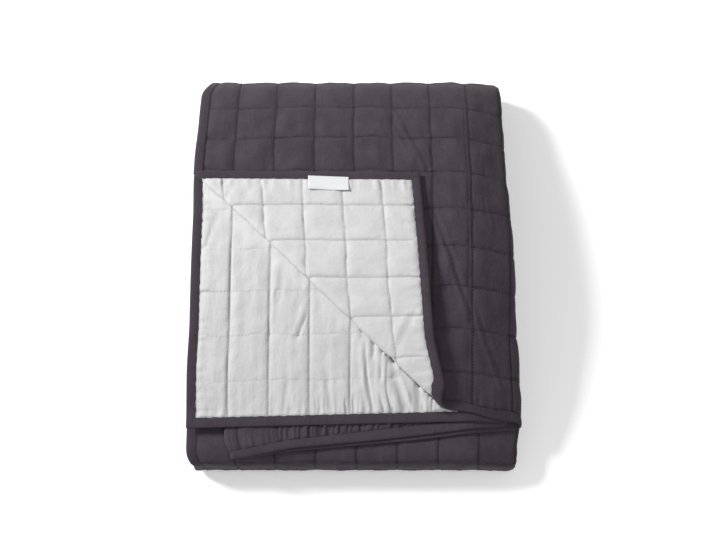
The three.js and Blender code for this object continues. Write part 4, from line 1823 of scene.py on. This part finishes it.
@dataclass
class Stitching:
    """Runs of stitches along seams, made by one Geometry Nodes tree. Sizes are in millimetres."""

    relief: QuiltRelief
    name: str
    slot: str
    pitch: float = 4.0
    stitch: float = 2.9
    radius: float = 0.28
    lines: list[Array] = field(default_factory=list)
    lies: list[Array] = field(default_factory=list)

    def add_seam(self, side: Side, a: Array, b: Array, proud: float = 0.1) -> None:
        """Adds one seam's line.

        Args:
            side: The cloth that it is sewn on.
            a: Pattern places across the width.
            b: Pattern places along the length.
            proud: Height of the thread above the cloth.
        """
        if len(a) < 3:
            return
        low = self.relief.surface(side, a, b, proud)
        self.lines.append(low)
        self.lies.append(self.relief.surface(side, a, b, proud + 1.0) - low)

    def add_edge(self, u: Array, v: Array, n: float) -> None:
        """Adds one line of stitches on the binding.

        Args:
            u: Flat places across the width.
            v: Flat places along the length.
            n: Place through the thickness.
        """
        low = self.relief.pack.place(u, v, n)
        self.lines.append(low)
        self.lies.append(self.relief.pack.place(u, v, n + math.copysign(1.0, n)) - low)

    @staticmethod
    def _tree() -> bpy.types.GeometryNodeTree:
        """Builds the node tree, once.

        Returns:
            The tree that turns lines into stitches.
        """
        known = bpy.data.node_groups.get("stitch_run")
        if known:
            return known
        tree = bpy.data.node_groups.new("stitch_run", "GeometryNodeTree")
        inputs = {"Lines": "NodeSocketGeometry", "Pitch": "NodeSocketFloat", "Stitch": "NodeSocketFloat",
                  "Radius": "NodeSocketFloat", "Thread": "NodeSocketMaterial"}
        for label, kind in inputs.items():
            tree.interface.new_socket(label, in_out="INPUT", socket_type=kind)
        tree.interface.new_socket("Stitches", in_out="OUTPUT", socket_type="NodeSocketGeometry")
        board = NodeBoard(tree)
        given = board.node("NodeGroupInput")
        lines, pitch, stitch, radius, thread = (board.wire(given, label) for label in inputs)
        curve = board.node("GeometryNodeMeshToCurve", {}, {"Mesh": lines})
        spaced = board.node("GeometryNodeResampleCurve", {"mode": "LENGTH"}, {
            "Curve": board.wire(curve, "Curve"), "Length": pitch})
        ball = board.node("GeometryNodeMeshUVSphere", {}, {"Segments": 6, "Rings": 4, "Radius": 1.0})
        size = board.node("ShaderNodeCombineXYZ", {}, {"X": stitch, "Y": radius, "Z": radius})
        oval = board.node("GeometryNodeTransform", {}, {
            "Geometry": board.wire(ball, "Mesh"), "Scale": board.wire(size)})
        lie = board.node("GeometryNodeInputNamedAttribute", {"data_type": "FLOAT_VECTOR"}, {"Name": "lie"})
        outward = next(socket for socket in lie.outputs if socket.enabled and socket.name == "Attribute")
        tangent = board.node("GeometryNodeInputTangent")
        up = board.node("FunctionNodeAlignRotationToVector", {"axis": "Z"}, {"Vector": Wire(board, outward)})
        along = board.node("FunctionNodeAlignRotationToVector", {"axis": "X", "pivot_axis": "Z"}, {
            "Rotation": board.wire(up, "Rotation"), "Vector": board.wire(tangent, "Tangent")})
        vary = board.node("FunctionNodeRandomValue", {"data_type": "FLOAT_VECTOR"}, {
            "Min": (0.85, 0.9, 0.9), "Max": (1.1, 1.1, 1.1), "Seed": 5})
        spread = board.node("GeometryNodeInstanceOnPoints", {}, {
            "Points": board.wire(spaced, "Curve"), "Instance": board.wire(oval, "Geometry"),
            "Rotation": board.wire(along, "Rotation"), "Scale": board.wire(vary)})
        real = board.node("GeometryNodeRealizeInstances", {}, {"Geometry": board.wire(spread, "Instances")})
        finished = board.node("GeometryNodeSetMaterial", {}, {
            "Geometry": board.wire(real, "Geometry"), "Material": thread})
        board.node("NodeGroupOutput", {}, {"Stitches": board.wire(finished, "Geometry")})
        return tree

    def _guide(self) -> bpy.types.Object:
        """Makes the lines that the stitches follow.

        Returns:
            An object of edges with the direction out of the cloth on each point.
        """
        mesh = bpy.data.meshes.new(self.name + "_guide")
        points = np.concatenate(self.lines)
        mesh.vertices.add(len(points))
        mesh.vertices.foreach_set("co", points.astype(np.float32).ravel())
        starts = np.cumsum([0] + [len(line) for line in self.lines])
        edges = np.concatenate([
            np.stack([np.arange(first, last - 1), np.arange(first + 1, last)], -1)
            for first, last in zip(starts[:-1], starts[1:])])
        mesh.edges.add(len(edges))
        mesh.edges.foreach_set("vertices", edges.astype(np.int32).ravel())
        lie = mesh.attributes.new("lie", "FLOAT_VECTOR", "POINT")
        lie.data.foreach_set("vector", np.concatenate(self.lies).astype(np.float32).ravel())
        mesh.update()
        guide = bpy.data.objects.new(self.name + "_guide", mesh)
        bpy.context.scene.collection.objects.link(guide)
        return guide

    def build(self, finish: ThreadFinish) -> bpy.types.Object:
        """Makes the stitches.

        Args:
            finish: The thread.

        Returns:
            The stitches as one plain mesh.
        """
        guide = self._guide()
        tree = self._tree()
        values = {"Pitch": self.pitch * METRES, "Stitch": self.stitch / 2 * METRES,
                  "Radius": self.radius * METRES, "Thread": finish.material()}
        modifier = guide.modifiers.new("stitches", "NODES")
        modifier.node_group = tree
        for item in tree.interface.items_tree:
            if item.item_type == "SOCKET" and item.in_out == "INPUT" and item.name in values:
                modifier[item.identifier] = values[item.name]
        evaluated = guide.evaluated_get(bpy.context.evaluated_depsgraph_get())
        mesh = bpy.data.meshes.new_from_object(evaluated)
        mesh.polygons.foreach_set("use_smooth", np.ones(len(mesh.polygons), bool))
        mesh.name = self.name
        guide.modifiers.clear()
        bpy.data.objects.remove(guide)
        piece = bpy.data.objects.new(self.name, mesh)
        bpy.context.scene.collection.objects.link(piece)
        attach(piece, BODY)
        return piece


@dataclass
class Seamstress:
    """Lays out every run of stitching that shows.

    The face is sewn up to a distance before the turned corner's fold line, and the corner from a distance
    past it. Sizes are in millimetres.
    """

    relief: QuiltRelief
    spacing: float = 2.0
    margin: float = 2.0
    columns_shown: int = 7
    rows_shown: int = 6
    face_end: float = -20.0
    corner_start: float = 2.0
    past_spine: float = 30.0
    reverse_depth: float = 320.0
    second_start: float = 20.0
    second_end: float = 14.0
    binding_inset: float = 10.7
    binding_proud: float = 1.12
    binding_depth: float = 620.0

    def _run(self, start: float, end: float) -> Array:
        """Evenly spaced places from start to end."""
        return np.linspace(start, end, max(3, int((end - start) / self.spacing)))

    def _sew(self, stitching: Stitching, side: Side, a: Array, b: Array) -> None:
        """Adds the stretches of one seam that the turned corner leaves in sight.

        Args:
            stitching: The stitching to add to.
            side: The cloth.
            a: Pattern places across the width.
            b: Pattern places along the length.
        """
        turn = self.relief.pack.turn_distance(a, b)
        shown = turn < self.face_end if side is Side.FACE else turn > self.corner_start
        marks = np.flatnonzero(np.diff(np.concatenate([[0], shown.astype(int), [0]])))
        for first, last in zip(marks[::2], marks[1::2]):
            stitching.add_seam(side, a[first:last], b[first:last])

    def face(self) -> Stitching:
        """Quilting on the dark face, where it shows.

        Returns:
            The stitching.
        """
        pack = self.relief.pack
        made = Stitching(self.relief, "quilting_stitches_face", "face_cloth")
        first = pack.binding + self.margin
        last = pack.starts[Stretch.UNDER_TOP] + self.past_spine
        spans = ((first, pack.starts[Stretch.UNDERSIDE]), (pack.starts[Stretch.FRONT_LOWER], last))
        for seam in range(1, self.columns_shown + 1):
            for start, end in spans:
                b = self._run(start, end)
                self._sew(made, Side.FACE, np.full_like(b, seam * pack.column), b)
        a = self._run(first, pack.u_lowest)
        for seam in range(1, int(last // pack.row) + 1):
            if any(start < seam * pack.row < end for start, end in spans):
                self._sew(made, Side.FACE, a, np.full_like(a, seam * pack.row))
        return made

    def reverse(self) -> Stitching:
        """Quilting on the light reverse, where it shows.

        Returns:
            The stitching.
        """
        pack = self.relief.pack
        made = Stitching(self.relief, "quilting_stitches_reverse", "reverse_cloth")
        first = pack.binding + self.margin
        b = self._run(first, self.reverse_depth)
        for seam in range(1, self.columns_shown + 1):
            self._sew(made, Side.REVERSE, np.full_like(b, seam * pack.column), b)
            made.add_seam(Side.REVERSE, np.full_like(b, pack.width - seam * pack.column), b)
        a = self._run(first, pack.u_outer)
        far = self._run(pack.u_second + self.second_start, pack.width - self.second_end)
        for seam in range(1, self.rows_shown + 1):
            self._sew(made, Side.REVERSE, a, np.full_like(a, seam * pack.row))
            made.add_seam(Side.REVERSE, far, np.full_like(far, seam * pack.row))
        return made

    def edge(self) -> Stitching:
        """The row of stitches that holds the binding, on both sides where it shows.

        Returns:
            The stitching.
        """
        width, inset = self.relief.pack.width, self.binding_inset
        made = Stitching(self.relief, "binding_stitches", "binding", pitch=3.3, stitch=2.3, radius=0.25)
        u = self._run(inset, width - inset)
        v = self._run(inset, self.binding_depth)
        for n in (self.binding_proud, -self.binding_proud):
            made.add_edge(u, np.full_like(u, inset), n)
            made.add_edge(np.full_like(v, inset), v, n)
            made.add_edge(np.full_like(v, width - inset), v, n)
        return made


@dataclass(frozen=True)
class SoftBox:
    """A square soft light, by where it stands, its side in metres and its power in watts."""

    name: str
    place: Place
    size: float
    watts: float

    def build(self, aim: Place) -> None:
        """Makes the light.

        Args:
            aim: What it points at.
        """
        data = bpy.data.lights.new(self.name, "AREA")
        data.shape = "SQUARE"
        data.size = self.size
        data.energy = self.watts
        light = bpy.data.objects.new(self.name, data)
        light.location = self.place
        light.rotation_mode = "QUATERNION"
        light.rotation_quaternion = (Vector(aim) - Vector(self.place)).to_track_quat("-Z", "Y")
        bpy.context.scene.collection.objects.link(light)


@dataclass
class Studio:
    """The pale floor, the soft light and the camera at the photograph's angle. Sizes are in metres."""

    target: Place = (-0.0025, -0.0228, 0.050)
    elevation: float = 68.0
    distance: float = 1.878
    focal_pixels: float = 1469.0
    centre_pixels: tuple[float, float] = (353.0, 276.0)
    sensor: float = 36.0
    clip: tuple[float, float] = (0.05, 50.0)
    floor_half: float = 6.0
    floor_gap: float = 0.0006
    floor_colour: Colour = (0.93, 0.93, 0.93)
    floor_roughness: float = 0.9
    floor_specular: float = 0.1
    floor_glow: float = 0.22
    room_light: float = 0.38
    aim: Place = (0.0, 0.0, 0.05)
    boxes: tuple[SoftBox, ...] = (
        SoftBox("key", (-2.52, 1.05, 1.9), 0.85, 154.0), SoftBox("fill", (1.1, -1.0, 2.2), 1.4, 17.0))

    def camera(self) -> None:
        """Makes the camera."""
        wide, high = PHOTO_SIZE
        data = bpy.data.cameras.new("camera")
        data.sensor_width = self.sensor
        data.sensor_fit = "HORIZONTAL"
        data.lens = self.sensor * self.focal_pixels / wide
        data.shift_x = (wide / 2 - self.centre_pixels[0]) / wide
        data.shift_y = (self.centre_pixels[1] - high / 2) / wide
        data.clip_start, data.clip_end = self.clip
        camera = bpy.data.objects.new("camera", data)
        rise = math.radians(self.elevation)
        back = Vector((0.0, -math.cos(rise), math.sin(rise)))
        camera.location = Vector(self.target) + back * self.distance
        camera.rotation_mode = "QUATERNION"
        camera.rotation_quaternion = (-back).to_track_quat("-Z", "Y")
        bpy.context.scene.collection.objects.link(camera)
        bpy.context.scene.camera = camera

    def floor(self) -> None:
        """Makes the floor, a little below the pack."""
        half, low = self.floor_half, -self.floor_gap
        points = np.array([(-half, -half, low), (half, -half, low), (half, half, low), (-half, half, low)])
        floor = Mould.mesh("floor", points, [np.array([[0, 1, 2, 3]])])
        floor.data.materials.append(ShaderBoard("pale_floor").shade({
            "Base Color": (*self.floor_colour, 1.0),
            "Roughness": self.floor_roughness,
            "Specular IOR Level": self.floor_specular,
            "Emission Strength": self.floor_glow,
            "Emission Color": WHITE,
        }))

    def light(self) -> None:
        """Makes the light of the room and the soft boxes."""
        world = bpy.data.worlds.new("studio")
        world.use_nodes = True
        ground = world.node_tree.nodes.get("Background")
        ground.inputs["Color"].default_value = WHITE
        ground.inputs["Strength"].default_value = self.room_light
        bpy.context.scene.world = world
        for box in self.boxes:
            box.build(self.aim)

    def build(self) -> None:
        """Makes the studio."""
        self.camera()
        self.floor()
        self.light()
        bpy.context.scene.view_settings.view_transform = "Standard"


def main() -> None:
    """Builds and dresses each piece in order."""
    logging.basicConfig(level=logging.INFO, format="%(message)s")
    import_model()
    pack = FoldedPack()
    relief = QuiltRelief(pack)
    Studio().build()
    face = ClothSkin(relief, Side.FACE, "face_cotton", "face_cloth")
    reverse = ClothSkin(relief, Side.REVERSE, "reverse_cotton", "reverse_cloth")
    binding = Binding(relief)
    label = Label(relief)
    dark_thread = ThreadFinish("dark_thread", (0.018, 0.014, 0.018), (0.042, 0.034, 0.043))
    light_thread = ThreadFinish("light_thread", (0.40, 0.40, 0.40), (0.60, 0.60, 0.60))
    # The dark cotton's lines paint shade into its seams.
    dark_cotton = CottonFinish(
        "dark_cotton", (0.017, 0.0125, 0.0175), (0.080, 0.064, 0.082), pack.width, pack.length,
        lines=(0.85, 0.75), second_lines=(0.85, 0.75), line_fall=0.85)
    # The light cotton's line colour, lines and edge line paint shade into its seams and along the binding.
    light_cotton = CottonFinish(
        "light_cotton", (0.43, 0.43, 0.43), (0.585, 0.585, 0.585), pack.width, pack.length,
        line=(0.10, 0.10, 0.105), lines=(0.4, 0.6), second_lines=(0.75, 0.12), edge_line=0.3, grain_tone=0.3)
    tape_round, tape_across = 2 * (pack.width + pack.length), 30.0
    dark_tape = CottonFinish(
        "dark_tape", (0.024, 0.018, 0.0245), (0.066, 0.053, 0.067), tape_round, tape_across)
    white_tape = LabelFinish(
        "white_tape", (0.52, 0.53, 0.545), (0.66, 0.67, 0.685), 2 * label.width, label.length)
    seamstress = Seamstress(relief)
    face_stitches = seamstress.face().build(dark_thread)
    reverse_stitches = seamstress.reverse().build(light_thread)
    edge_stitches = seamstress.edge().build(dark_thread)
    sheets = [part.build() for part in (face, reverse, binding, label)]
    face.dress(dark_cotton, [face_stitches])
    reverse.dress(light_cotton, [reverse_stitches])
    binding.dress(dark_tape, [edge_stitches])
    label.dress(white_tape)
    for piece in (*sheets, face_stitches, reverse_stitches, edge_stitches):
        LOG.info("%s: %d faces", piece.name, len(piece.data.polygons))


if __name__ == "__main__":
    main()
